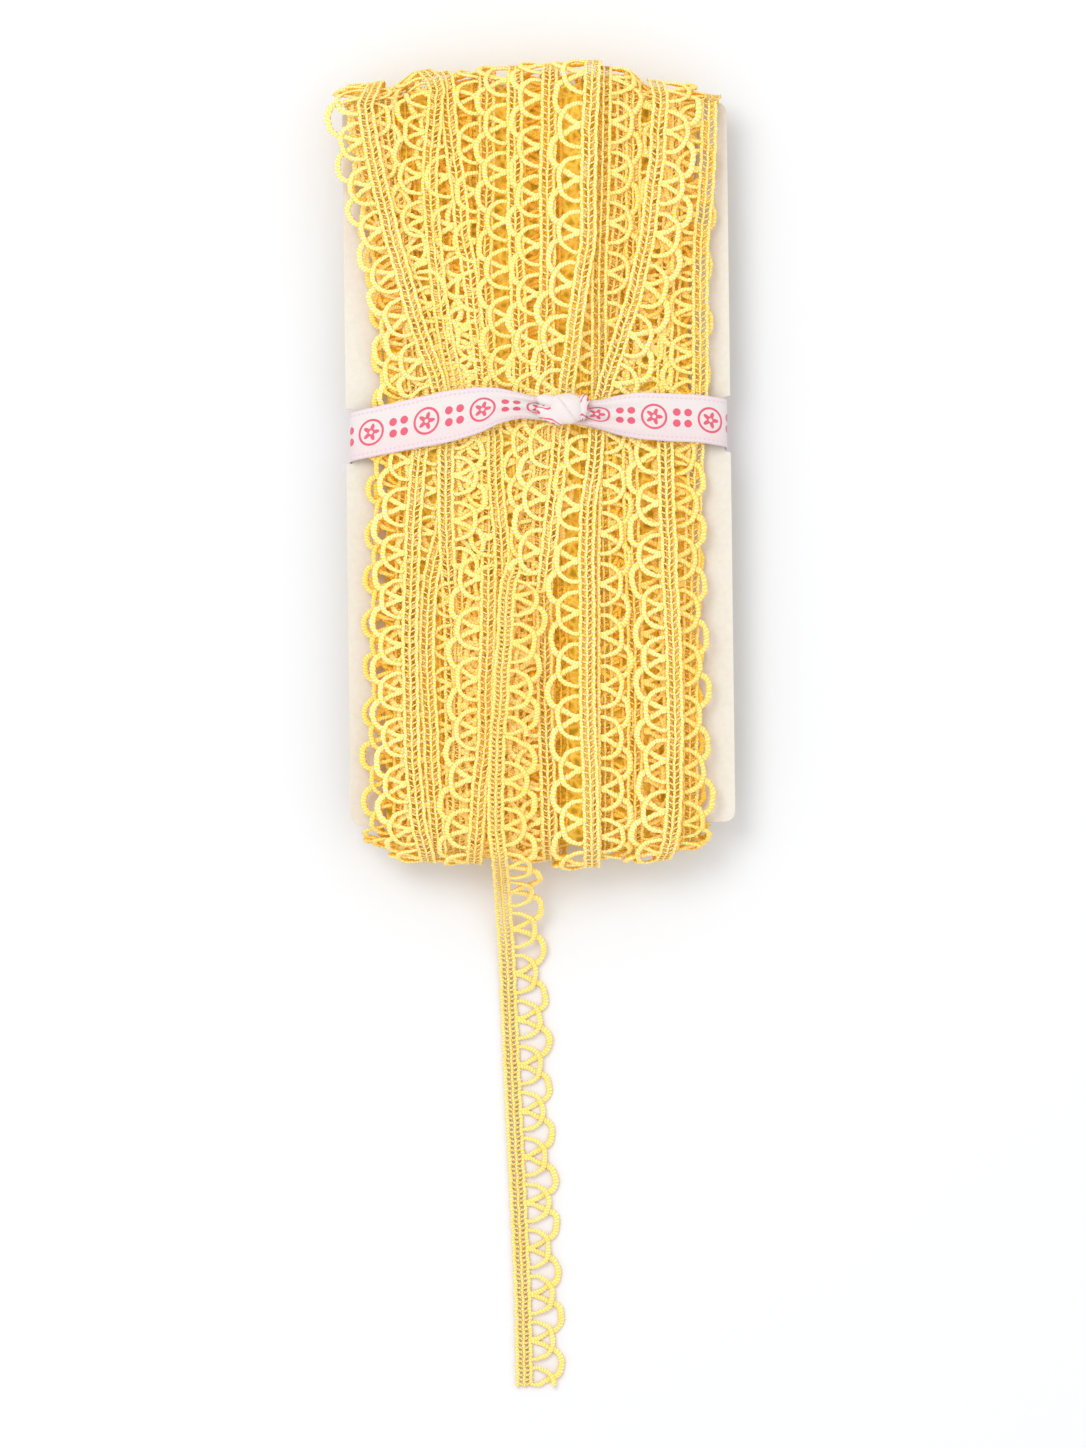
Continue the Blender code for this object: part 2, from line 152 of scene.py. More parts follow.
def makeFloor():
    bpy.ops.mesh.primitive_plane_add(size=6.0, location=(0, 0, -0.0002))
    floor = bpy.context.object
    floor.name = "floor"
    material = bpy.data.materials.new("whiteFloor")
    material.use_nodes = True
    shader = material.node_tree.nodes["Principled BSDF"]
    shader.inputs["Base Color"].default_value = surroundings["floorColour"]
    shader.inputs["Roughness"].default_value = 0.8
    floor.data.materials.append(material)


deselectAll()
makeCamera()
makeLights()
makeFloor()
print("stage: camera, lights and floor")


# materials

def newMaterial(name, roughness, sheen=0.0, specular=0.3):
    material = bpy.data.materials.new(name)
    material.use_nodes = True
    shader = material.node_tree.nodes["Principled BSDF"]
    shader.inputs["Roughness"].default_value = roughness
    shader.inputs["Specular IOR Level"].default_value = specular
    if sheen:
        shader.inputs["Sheen Weight"].default_value = sheen
        shader.inputs["Sheen Roughness"].default_value = 0.45
    return material, material.node_tree, shader


def addNode(tree, kind, **inputs):
    node = tree.nodes.new(kind)
    for name, value in inputs.items():
        node.inputs[name.replace("_", " ")].default_value = value
    return node


def addRamp(tree, source, stops):
    ramp = tree.nodes.new("ShaderNodeValToRGB")
    elements = ramp.color_ramp.elements
    while len(elements) < len(stops):
        elements.new(0.5)
    for element, (place, colour) in zip(elements, stops):
        element.position = place
        element.color = (*colour, 1.0)
    tree.links.new(source, ramp.inputs["Fac"])
    return ramp.outputs["Color"]


def mixColours(tree, kind, share, first, second):
    mix = tree.nodes.new("ShaderNodeMix")
    mix.data_type = "RGBA"
    mix.blend_type = kind
    for socket, value in (("Factor", share), ("A", first), ("B", second)):
        target = [s for s in mix.inputs if s.name == socket and s.type != "VECTOR"]
        target = [s for s in target if (s.type == "RGBA") == (socket != "Factor")][0]
        if hasattr(value, "is_linked"):
            tree.links.new(value, target)
        else:
            target.default_value = value if socket == "Factor" else (*value, 1.0)
    return [s for s in mix.outputs if s.type == "RGBA"][0]


yarn = {
    # cord colours by height round the cord: painted highlight on the upper flanks, golden on the very top, painted
    # shade underneath
    "paintedHighlight": (0.98, 0.90, 0.60),
    "crown": (0.98, 0.80, 0.30),
    "middle": (0.97, 0.66, 0.06),
    "deep": (0.92, 0.53, 0.01),
    "paintedGlow": (0.95, 0.66, 0.04, 1.0),  # painted glow: faint emission that lifts the shade between the cords, standing in for light bounced through the cotton
    "paintedGlowShare": 0.11,
}


# wrapped cotton cord: diagonal windings with painted shade in their grooves, painted highlights on the cords' upper
# flanks, painted shade on their undersides and on lower layers, and a faint painted glow
def makeYarn(name, paintedDepthShade, tint=(1.0, 1.0, 1.0), gloss=0.35, bumpDistance=0.00014):
    material, tree, shader = newMaterial(name, roughness=0.6 - 0.3 * (gloss - 0.35), specular=gloss)
    links = tree.links
    uv = tree.nodes.new("ShaderNodeUVMap")
    uv.uv_map = "cord"
    turn = addNode(tree, "ShaderNodeMapping", Rotation=(0, 0, math.radians(32)))
    links.new(uv.outputs["UV"], turn.inputs["Vector"])
    wave = addNode(tree, "ShaderNodeTexWave", Scale=0.62, Distortion=1.4, Detail=1.0)
    wave.inputs["Detail Scale"].default_value = 1.6
    links.new(turn.outputs["Vector"], wave.inputs["Vector"])
    place = tree.nodes.new("ShaderNodeTexCoord")
    fibre = addNode(tree, "ShaderNodeTexNoise", Scale=2600.0, Detail=3.0, Roughness=0.6)
    links.new(place.outputs["Object"], fibre.inputs["Vector"])
    patch = addNode(tree, "ShaderNodeTexNoise", Scale=140.0, Detail=2.0)
    links.new(place.outputs["Object"], patch.inputs["Vector"])
    crest = tree.nodes.new("ShaderNodeAttribute")
    crest.attribute_name = "crest"
    shadeDepth = tree.nodes.new("ShaderNodeAttribute")
    shadeDepth.attribute_name = "shadeDepth"
    # painted highlight and shade: the cord's top and flanks paler, its underside deeper
    base = addRamp(tree, crest.outputs["Fac"], ((0.0, yarn["deep"]), (0.42, yarn["middle"]), (0.70, yarn["paintedHighlight"]),
                                                (0.88, yarn["paintedHighlight"]), (1.0, yarn["crown"])))
    # painted shade in the grooves between the windings, paler on their ridges
    grooveShade = addRamp(tree, wave.outputs["Fac"], ((0.15, (1.0, 0.77, 0.15)), (0.65, (1.0, 1.0, 1.0))))
    colour = mixColours(tree, "MULTIPLY", 0.85, base, grooveShade)
    speck = addRamp(tree, fibre.outputs["Fac"], ((0.3, (1.0, 0.88, 0.52)), (0.62, (1.0, 1.0, 1.0))))
    colour = mixColours(tree, "MULTIPLY", 0.6, colour, speck)
    cloud = addRamp(tree, patch.outputs["Fac"], ((0.35, (1.0, 0.93, 0.72)), (0.65, (1.0, 1.0, 1.0))))
    colour = mixColours(tree, "MULTIPLY", 0.6, colour, cloud)
    # painted shade: rows lying under others darker and deeper orange
    shade = addRamp(tree, shadeDepth.outputs["Fac"], ((0.0, (1.0, 1.0, 1.0)), (1.0, paintedDepthShade)))
    colour = mixColours(tree, "MULTIPLY", 1.0, colour, shade)
    colour = mixColours(tree, "MULTIPLY", 1.0, colour, tint)
    links.new(colour, shader.inputs["Base Color"])
    # painted glow: emission on the cord, which is no lamp
    shader.inputs["Emission Color"].default_value = yarn["paintedGlow"]
    shader.inputs["Emission Strength"].default_value = yarn["paintedGlowShare"]
    heights = tree.nodes.new("ShaderNodeMath")
    heights.operation = "MULTIPLY_ADD"
    heights.inputs[1].default_value = 0.5
    links.new(fibre.outputs["Fac"], heights.inputs[0])
    links.new(wave.outputs["Fac"], heights.inputs[2])
    bump = addNode(tree, "ShaderNodeBump", Strength=0.8, Distance=bumpDistance)
    links.new(heights.outputs["Value"], bump.inputs["Height"])
    links.new(bump.outputs["Normal"], shader.inputs["Normal"])
    return material


laceYarn = makeYarn("crochetYarn", (1.0, 0.79, 0.30))
looseYarn = makeYarn("looseYarn", (1.0, 0.79, 0.30), tint=(1.0, 0.93, 0.76), gloss=0.7)
print("stage: yarn material")


# one repeat of the lace, laid flat: x along, y out from the heading's outer edge, z up

lace = {
    "repeat": 9.2 * mm,
    "heading": 3.4 * mm,
    "edgeCord": 0.36 * mm,           # radii
    "chainCord": 0.26 * mm,
    "bar": 0.19 * mm,
    "bigCord": 0.65 * mm,
    "smallCord": 0.53 * mm,
    "footShare": 0.60,               # a loop's cord is thinner at its feet
    "flatness": 0.78,
    "crossing": 0.46 * mm,           # rise of the small loops over the big ones
    "dip": 0.26 * mm,                # and of the big ones under them
    # middle lines from a loop's own middle outwards, mm: along, out from the heading
    "bigLoop": ((4.40, 0.0), (4.20, 1.4), (3.60, 2.7), (3.0, 3.8), (2.65, 4.7), (1.75, 5.7), (0.0, 6.08)),
    "smallLoop": ((3.75, 0.0), (3.60, 1.5), (3.0, 3.0), (1.9, 4.05), (0.0, 4.42)),
}


# even steps along a smooth curve through points
def smoothLine(points, step):
    points = np.asarray(points, float)
    ends = np.vstack([2 * points[0] - points[1], points, 2 * points[-1] - points[-2]])
    fine = []
    for a, b, c, d in zip(ends, ends[1:], ends[2:], ends[3:]):
        t = np.linspace(0, 1, 24, endpoint=False)[:, None]
        fine.append(0.5 * (2 * b + (c - a) * t + (2 * a - 5 * b + 4 * c - d) * t ** 2
                           + (3 * b - a - 3 * c + d) * t ** 3))
    fine = np.vstack(fine + [points[-1:]])
    reach = np.concatenate([[0], np.cumsum(np.linalg.norm(np.diff(fine, axis=0), axis=1))])
    count = max(2, int(round(reach[-1] / step)) + 1)
    even = np.linspace(0, reach[-1], count)
    return np.stack([np.interp(even, reach, fine[:, k]) for k in range(fine.shape[1])], axis=1)


# collects the points, faces and cord coordinates of a mesh
class MeshParts:
    def __init__(self):
        self.points = []
        self.faces = []
        self.cord = []
        self.crest = []

    def addTube(self, line, radius, sides, capped=True, beads=None, foot=1.0):
        start = len(self.points)
        line = np.asarray(line, float)
        along = np.gradient(line, axis=0)
        along /= np.linalg.norm(along, axis=1)[:, None]
        side = np.cross([0, 0, 1.0], along)
        side /= np.linalg.norm(side, axis=1)[:, None]
        up = np.cross(along, side)
        walked = np.concatenate([[0], np.cumsum(np.linalg.norm(np.diff(line, axis=0), axis=1))])
        for number, centre in enumerate(line):
            swell = 1.0 if beads is None else beads[number % len(beads)]
            swell *= foot + (1 - foot) * math.sin(math.pi * number / (len(line) - 1)) ** 0.8
            for turn in range(sides):
                angle = 2 * math.pi * (turn + 0.5 * (number % 2)) / sides
                reach = radius * swell
                place = centre + side[number] * math.cos(angle) * reach
                place = place + up[number] * math.sin(angle) * reach * lace["flatness"]
                self.points.append(place)
                # crest: 1 on the cord's top, 0 underneath; the yarn paints highlights and shade from it
                self.crest.append(0.5 + 0.5 * math.sin(angle))
        for number in range(len(line) - 1):
            for turn in range(sides):
                after = (turn + 1) % sides
                low = start + number * sides
                high = low + sides
                self.faces.append((low + turn, low + after, high + after, high + turn))
                first = walked[number] / mm
                second = walked[number + 1] / mm
                left = turn / sides
                right = (turn + 1) / sides
                self.cord.append(((first, left), (first, right), (second, right), (second, left)))
        if capped:
            for ring, walkedHere, order in ((0, 0.0, -1), (len(line) - 1, walked[-1], 1)):
                ids = [start + ring * sides + turn for turn in range(sides)]
                self.faces.append(tuple(ids[::order]))
                self.cord.append(tuple((walkedHere / mm, 0.5) for _ in ids))

    def makeObject(self, name, material):
        mesh = bpy.data.meshes.new(name)
        mesh.from_pydata([tuple(p) for p in self.points], [], self.faces)
        layer = mesh.uv_layers.new(name="cord")
        flat = [value for face in self.cord for corner in face for value in corner]
        layer.data.foreach_set("uv", flat)
        crest = mesh.attributes.new("crest", "FLOAT", "POINT")
        crest.data.foreach_set("value", self.crest)
        mesh.materials.append(material)
        obj = bpy.data.objects.new(name, mesh)
        bpy.context.scene.collection.objects.link(obj)
        return obj


# bars a repeat, and their lean: half a cross bar's slant, in shares of the bars' pitch
details = {
    "fine": {"sides": 6, "loopStep": 0.58 * mm, "ringsPerBar": 2, "barSides": 4, "bars": 8,
             "beads": (1.16, 0.84), "leans": (0.30,), "cordShare": 1.0, "yarn": laceYarn},
    "plain": {"sides": 5, "loopStep": 0.95 * mm, "ringsPerBar": 1, "barSides": 3, "bars": 8,
              "beads": (1.0,), "leans": (0.30,), "cordShare": 1.0, "yarn": laceYarn},
    "close": {"sides": 8, "loopStep": 0.36 * mm, "ringsPerBar": 3, "barSides": 4, "bars": 10,
              "beads": (1.26, 0.98, 0.78), "leans": (0.42, -0.30), "cordShare": 0.96, "yarn": looseYarn},
}


# the lace's one repeat: three heading cords, their cross bars and two loops
def makeRepeat(detail):
    facts = details[detail]
    parts = MeshParts()
    length = lace["repeat"]
    bars = facts["bars"]
    rings = bars * facts["ringsPerBar"]
    edgeIn = lace["edgeCord"]
    edgeOut = lace["heading"] - lace["edgeCord"]
    middle = lace["heading"] / 2
    for out, radius in ((edgeIn, lace["edgeCord"]), (middle, lace["chainCord"]), (edgeOut, lace["edgeCord"])):
        line = [(length * ring / rings, out, 0.0) for ring in range(rings + 1)]
        parts.addTube(line, radius, facts["sides"], capped=False, beads=facts["beads"])
    for bar in range(bars):
        begin = length * (bar + 0.5) / bars
        for lean in facts["leans"]:
            step = length / bars * lean
            for first, second, way in ((edgeIn, middle, step), (middle, edgeOut, -step)):
                height = 0.16 * mm * lean
                parts.addTube(((begin - way, first, height), (begin + way, second, height)),
                              lace["bar"], facts["barSides"])
    half = length / 2
    for shape, radius, centre, over in (
        (lace["bigLoop"], lace["bigCord"], half, False),
        (lace["smallLoop"], lace["smallCord"], length, True),
    ):
        left = [(-along, out) for along, out in shape]
        right = [(along, out) for along, out in shape[-2::-1]]
        points = [(centre + along * mm, lace["heading"] - edgeIn + (out + 0.1) * mm) for along, out in left + right]
        line = smoothLine(points, facts["loopStep"])
        share = np.linspace(-1, 1, len(line))
        if over:
            sway = lace["crossing"] * (1 - share ** 4)
        else:
            sway = -lace["dip"] * np.exp(-(((np.abs(share) - 0.6) / 0.2) ** 2))
        line = np.column_stack([line, sway])
        parts.addTube(line, radius * facts["cordShare"], facts["sides"], beads=(1.06, 0.94), foot=lace["footShare"])
    return parts.makeObject("repeat" + detail.capitalize(), facts["yarn"])


repeats = {name: makeRepeat(name) for name in details}
for name, obj in repeats.items():
    obj.data.calc_loop_triangles()
    print("stage: repeat", name, len(obj.data.loop_triangles), "triangles")


# the winding's shape, in the card's frame: s runs round the card lengthwise, p across it

cardLow, cardHigh = (Vector(corner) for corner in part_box("card"))
cardCentre = (cardLow + cardHigh) / 2
winding = {
    "turn": math.radians(0.7),
    "halfLength": 71.85 * mm,
    "inner": 1.05 * mm,
    "arc": 27.0 * mm,                # way round each short end
    "edge": 1.1 * mm,
    "frontCrown": 3.5 * mm,
    "backCrown": 5.4 * mm,
    "endCrown": 3.9 * mm,
    "waistPlace": 9.0 * mm,
    "waistReach": 15.0 * mm,
    "waistPinch": 0.42,
    "stackPinch": 0.52,
    # how much less its far end stands out at the corners: place of the drop, its width, its size
    "leftCorner": (-23 * mm, 5 * mm, 2.6 * mm),
    "rightCorner": (18.5 * mm, 5 * mm, 3.4 * mm),
    "inset": 3.2 * mm,               # of the inner layers' sides from the rows' sides
    # sides of the inner layers, mm: along, left, right
    "sides": ((-72, -34.5, 33.5), (-45, -34.5, 34.0), (-17, -34.0, 33.5), (9, -33.0, 33.0),
              (45, -35.5, 34.0), (64, -38.5, 35.5), (72, -38.5, 36.0)),
}


def sidesAt(along):
    table = np.array(winding["sides"]) * mm
    return (np.interp(along, table[:, 0], table[:, 1]), np.interp(along, table[:, 0], table[:, 2]))


def waistAt(along):
    return np.exp(-(((along - winding["waistPlace"]) / winding["waistReach"]) ** 4))


# thickness of the inner layers over the card's face
def faceAt(across, along, crown):
    left, right = sidesAt(along)
    sideways = np.clip(np.abs(across - (left + right) / 2) / ((right - left) / 2), 0, 1)
    pull = waistAt(along)
    rise = 1 - sideways ** (2.6 - 0.6 * pull)
    return winding["edge"] + (crown * (1 - winding["waistPinch"] * pull) - winding["edge"]) * rise


# place in the scene of a point round the winding, arrays in and out
def windingPoint(s, p, lift):
    half = winding["halfLength"]
    arc = winding["arc"]
    full = 2 * (2 * half + arc)
    s = (s + full / 2) % full - full / 2
    ahead = np.abs(s)
    turning = np.clip((ahead - half) / arc, 0, 1)
    onBack = ahead > half + arc
    y = np.where(onBack, half - (ahead - half - arc), np.minimum(ahead, half)) * np.sign(s)
    phi = math.pi / 2 - math.pi * turning
    lower = phi < 0
    pull = np.where((turning == 0) | onBack, waistAt(y), 0.0)
    lift = lift * (1 - winding["stackPinch"] * pull)
    front = faceAt(p, y, winding["frontCrown"])
    back = faceAt(p, y, winding["backCrown"])
    face = np.where(lower, back, front) + winding["inner"] + lift
    left, right = sidesAt(y)
    sideways = np.clip(np.abs(p - (left + right) / 2) / ((right - left) / 2), 0, 1)
    past = winding["edge"] + (winding["endCrown"] - winding["edge"]) * (1 - sideways ** 2.6)
    past = past + winding["inner"] + lift
    for side, name in ((-1, "leftCorner"), (1, "rightCorner")):
        start, width, drop = winding[name]
        share = np.clip((p - start) * side / width, 0, 1)
        past = past - np.where(s > 0, drop * share * share * (3 - 2 * share), 0.0)
    out = np.where((turning > 0) & (turning < 1), np.cos(phi), 0.0)
    y = y + np.sign(s) * past * out
    z = face * np.sin(phi)
    turn = winding["turn"]
    x = cardCentre.x + p * math.cos(turn) - y * math.sin(turn)
    yWorld = cardCentre.y + p * math.sin(turn) + y * math.cos(turn)
    return np.stack([x, yWorld, cardCentre.z + z], axis=-1)


# place round the winding of a pixel of the photo, for what is on its front
def toWinding(px, py):
    x, y = fromPhoto(px, py)
    x -= cardCentre.x
    y -= cardCentre.y
    turn = winding["turn"]
    p = x * math.cos(turn) + y * math.sin(turn)
    s = -x * math.sin(turn) + y * math.cos(turn)
    half = winding["halfLength"]
    if abs(s) > half:
        share = min(1.0, (abs(s) - half) / (8.3 * mm))
        s = math.copysign(half + winding["arc"] * math.asin(share) / math.pi, s)
    return s, p


# the rows that show on the front, from the photo: pixels along the middle of each
# heading, the side of its loops, its layer above the ribbon, just below it and in the lower
# part (where it differs), the pixels between its big loops and the height of one loop's tip

frontRows = {
    "rowA": {
        "spots": ((376, 64), (371, 84), (366, 105), (369, 130), (374, 158), (380, 186), (387, 214), (393, 240),
                  (402, 270), (413, 310), (424, 344), (436, 377), (441, 400), (445, 440), (445, 500),
                  (443, 530), (436, 556), (430, 587), (427, 640), (428, 686), (431, 732), (432, 762), (438, 839), (440, 866)),
        "side": "left", "layers": (5.0, 2.8, 2.6), "pitch": 45, "tip": 117},
    "rowA2": {
        "spots": ((362, 66), (359, 105), (370, 180), (392, 240), (414, 288), (427, 333), (436, 370), (443, 400),
                  (446, 440), (446, 500), (447, 540), (449, 580), (452, 640), (453, 740), (455, 866)),
        "side": "right", "layers": (2.6, 4.0, 1.0), "pitch": 46, "tip": 498},
    "rowL1": {
        "spots": ((384, 66), (388, 130), (398, 200), (408, 280), (412, 340), (415, 375), (419, 410), (420, 447),
                  (418, 467), (416, 494), (414, 520), (413, 547), (412, 574), (411, 601), (410, 640),
                  (411, 686), (412, 732), (413, 762), (416, 793), (419, 824), (426, 854), (428, 866)),
        "side": "left", "layers": (1.8, 4.0), "pitch": 45.8, "tip": 484},
    "rowL0": {
        "spots": ((384, 70), (393, 200), (408, 290), (411, 340), (411, 400), (408, 440), (406, 492), (404, 534),
                  (403, 600), (402, 700), (401, 800), (403, 850), (404, 864)),
        "side": "left", "layers": (0.8, 1.6), "pitch": 44.2, "tip": 534},
    "rowB": {
        "spots": ((420, 64), (436, 84), (436, 102), (434, 130), (431, 158), (430, 186), (432, 214), (434, 240),
                  (440, 300), (448, 350), (458, 400), (462, 450), (463, 520), (462, 640), (460, 750), (460, 866)),
        "side": "left", "layers": (3.4, 1.2), "pitch": 42.5, "tip": 155},
    "rowC": {
        "spots": ((440, 62), (446, 75), (449, 116), (454, 158), (460, 200), (463, 240), (467, 257), (473, 297), (476, 324),
                  (480, 350), (485, 400), (487, 450), (489, 500), (489, 547), (488, 640), (486, 686),
                  (486, 732), (484, 755), (480, 785), (478, 816), (475, 854), (474, 866)),
        "side": "left", "layers": (2.6, 2.2, 3.6), "pitch": 50.5, "tip": 654},
    "rowS": {
        "spots": ((487, 64), (487, 120), (487, 186), (485, 230), (485, 270), (487, 324), (490, 389), (495, 440),
                  (495, 453), (496, 480), (498, 507), (501, 534), (502, 554), (505, 640), (503, 750), (504, 866)),
        "side": "left", "layers": (2.2, 3.2, 1.6), "pitch": 49, "tip": 120},
    "rowD": {
        "spots": ((516, 62), (515, 100), (515, 186), (516, 240), (519, 320), (521, 389), (524, 440), (523, 520),
                  (520, 600), (518, 700), (518, 866)),
        "side": "left", "layers": (3.4, 1.2), "pitch": 48, "tip": 150},
    "rowE": {
        "spots": ((551, 62), (549, 102), (549, 130), (548, 158), (547, 186), (548, 240), (547, 300), (545, 389),
                  (541, 450), (540, 560), (542, 640), (546, 700), (549, 866)),
        "side": "left", "layers": (3.8, 2.6, 1.4), "pitch": 49, "tip": 125},
    "rowF": {
        "spots": ((593, 64), (591, 102), (589, 130), (589, 158), (588, 186), (588, 240), (583, 270), (579, 297),
                  (575, 324), (572, 350), (568, 377), (565, 400), (560, 440), (557, 480), (552, 520), (549, 547),
                  (546, 574), (544, 601), (545, 640), (545, 700), (548, 780), (551, 866)),
        "side": "left", "layers": (4.8, 4.9, 2.6), "pitch": 53.5, "tip": 209},
    "rowF2": {
        "spots": ((604, 64), (602, 180), (599, 270), (599, 330), (599, 389), (600, 440), (603, 550), (605, 700), (605, 866)),
        "side": "right", "layers": (3.2, 0.8), "pitch": 50, "tip": 300},
    "rowM": {
        "spots": ((625, 66), (622, 200), (612, 300), (603, 370), (598, 410), (596, 440), (594, 467), (588, 507),
                  (587, 534), (586, 560), (587, 600), (587, 640), (587, 686), (588, 732), (590, 778),
                  (591, 824), (592, 862), (592, 868)),
        "side": "left", "layers": (1.4, 4.6), "pitch": 52, "tip": 744},
    "rowG": {
        "spots": ((633, 66), (633, 160), (633, 240), (634, 330), (632, 389), (630, 440), (632, 550), (635, 640),
                  (635, 740), (635, 810), (636, 866)),
        "side": "right", "layers": (2.4, 2.2), "pitch": 48, "tip": 180},
    "rowH": {
        "spots": ((656, 64), (660, 92), (660, 110), (658, 130), (657, 158), (653, 186), (650, 214), (647, 240), (640, 270),
                  (634, 297), (625, 324), (617, 350), (608, 377), (602, 400), (596, 440), (592, 547),
                  (592, 620), (592, 700), (593, 866)),
        "side": "right", "layers": (4.8, 2.6), "pitch": 51, "tip": 211},
    "rowP": {
        "spots": ((674, 70), (671, 200), (666, 300), (665, 340), (664, 400), (665, 440), (666, 480), (667, 520),
                  (669, 547), (669, 574), (671, 601), (672, 627), (673, 640), (674, 686), (675, 732),
                  (674, 762), (674, 793), (672, 824), (669, 847), (662, 866)),
        "side": "left", "layers": (2.0, 4.4), "pitch": 51.5, "tip": 634},
    "rowQ": {
        "spots": ((676, 72), (675, 200), (670, 389), (666, 440), (666, 534), (669, 633), (672, 744), (674, 805),
                  (670, 866)),
        "side": "right", "layers": (1.6, 2.4), "pitch": 53, "tip": 587},
    "rowI": {
        "spots": ((712, 84), (709, 96), (708, 150), (705, 200), (701, 240), (700, 300), (700, 389), (696, 450),
                  (692, 560), (690, 700), (690, 862)),
        "side": "left", "layers": (3.0, 0.8), "pitch": 46, "tip": 150},
    "rowLoose": {
        "spots": ((556, 380), (548, 420), (536, 480), (522, 540), (512, 574), (508, 587), (506, 614), (505, 640),
                  (502, 671), (501, 701), (498, 732), (497, 762), (496, 793), (496, 824), (497, 836)),
        "side": "right", "layers": (2.4, 1.6, 5.2), "pitch": 54, "tip": 758},
}
layerStep = 0.78 * mm
rowLook = {
    "tipDrop": 0.45 * mm,
    "wobble": 0.12 * mm,             # slow rise and fall
    "unevenLoops": 0.07,             # share of a loop's length
    "tiltedLoops": 0.38 * mm,
    "shiver": 0.07 * mm,             # fine sideways and upward unevenness of the cords
}


layerChanges = ((9.0 * mm, 14 * mm), (-21 * mm, 12 * mm))   # place and length of both changes


# height of a row above the inner layers: it changes under the ribbon and once more below it
def layerHeight(layers, s):
    level = np.full(len(s), float(layers[0]))
    for (place, width), low in zip(layerChanges, layers[1:]):
        share = np.clip((place - s) / width + 0.5, 0, 1)
        level = level + (low - level) * share * share * (3 - 2 * share)
    return level * layerStep + 0.45 * mm


# a straight row: the repeat copied along x, its heading cords joined
def copyRepeats(name, detail, count, pitch):
    obj = repeats[detail].copy()
    obj.data = repeats[detail].data.copy()
    obj.name = name
    obj.data.name = name
    bpy.context.scene.collection.objects.link(obj)
    array = obj.modifiers.new("repeats", "ARRAY")
    array.count = count
    array.use_relative_offset = False
    array.use_constant_offset = True
    array.constant_offset_displace = (lace["repeat"], 0, 0)
    array.use_merge_vertices = True
    array.merge_threshold = 0.00002
    applyModifiers(obj)
    bm = bmesh.new()
    bm.from_mesh(obj.data)
    end = count * lace["repeat"] - 0.05 * mm
    bmesh.ops.bisect_plane(bm, geom=bm.verts[:] + bm.edges[:] + bm.faces[:], dist=0.000001,
                           plane_co=(end, 0, 0), plane_no=(1, 0, 0), clear_outer=True)
    bm.to_mesh(obj.data)
    bm.free()
    points = readPoints(obj)
    points[:, 0] *= pitch / lace["repeat"]
    return obj, points


# a flat row with the unevenness of handwork: loops differ, cords waver
def uneven(points, seed):
    u, out, up = points.T
    loops = np.clip((out - lace["heading"]) / (6.5 * mm), 0, 1)
    swell = np.sin(u / (2.9 * mm) + seed) + np.sin(u / (4.7 * mm) + 2.3 * seed)
    tilt = np.sin(u / (3.7 * mm) + 1.7 * seed) + np.sin(u / (6.1 * mm) + 0.9 * seed)
    out = out + (out - lace["heading"]).clip(0) * rowLook["unevenLoops"] * swell * 0.5
    up = up + rowLook["tiltedLoops"] * 0.5 * tilt * loops
    shiver = rowLook["shiver"]
    u = u + shiver * np.sin(out / (0.41 * mm) + u / (1.3 * mm) + seed)
    out = out + shiver * np.sin(u / (0.57 * mm) + out / (1.9 * mm) + 3 * seed)
    up = up + shiver * np.sin(u / (0.73 * mm) - out / (0.8 * mm) + 5 * seed)
    return np.stack([u, out, up], axis=1)


def finishRow(obj, points, shadeDepth, flip):
    writePoints(obj, points)
    bm = bmesh.new()
    bm.from_mesh(obj.data)
    rim = [edge for edge in bm.edges if edge.is_boundary]
    bmesh.ops.holes_fill(bm, edges=rim, sides=0)
    if flip:
        bmesh.ops.reverse_faces(bm, faces=bm.faces)
    bm.to_mesh(obj.data)
    bm.free()
    # share of painted shade on this row, by how deep it lies under other rows
    values = np.full(len(obj.data.vertices), 0.0)
    values[:] = shadeDepth
    shade = obj.data.attributes.new("shadeDepth", "FLOAT", "POINT")
    shade.data.foreach_set("value", values)
    obj.data.shade_smooth()
    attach(obj, "root")


# places and directions along a path, straight on past its ends
def followPath(path, way, u, reach):
    inside = np.clip(u, reach, way[-1] - reach)

    def at(walked):
        return np.stack([np.interp(walked, way, path[:, k]) for k in range(path.shape[1])], axis=1)

    along = at(inside + reach) - at(inside - reach)
    along /= np.linalg.norm(along, axis=1)[:, None]
    return at(inside) + along * (u - inside)[:, None], along


# bend a straight row along its path round the winding
def layRow(name, path, heights, side, detail, pitch, tipWay, shadeDepth):
    steps = np.linalg.norm(np.diff(path, axis=0), axis=1)
    way = np.concatenate([[0], np.cumsum(steps)])
    phase = (tipWay / pitch - 0.5) % 1.0 * pitch
    count = int((way[-1] - phase) / pitch)
    obj, points = copyRepeats(name, detail, count, pitch)
    points = uneven(points, sum(ord(letter) for letter in name) % 17)
    u = points[:, 0] + phase
    out = points[:, 1]
    centre, along = followPath(path, way, u, 0.8 * mm)
    sign = 1.0 if side == "right" else -1.0
    across = np.stack([along[:, 1], -along[:, 0]], axis=1) * sign
    away = out - lace["heading"] / 2
    place = centre + across * away[:, None]
    loops = np.clip((out - lace["heading"]) / (6.5 * mm), 0, 1)
    lift = np.interp(u, way, heights) - rowLook["tipDrop"] * loops ** 1.5
    lift += rowLook["wobble"] * np.sin(u / (7.3 * mm) + len(name)) + points[:, 2]
    placed = windingPoint(place[:, 0], place[:, 1], lift)
    placed[:, 2] = np.maximum(placed[:, 2], 0.02 * mm + 0.06 * points[:, 2].clip(0))
    finishRow(obj, placed, shadeDepth, side != "right")
    return obj


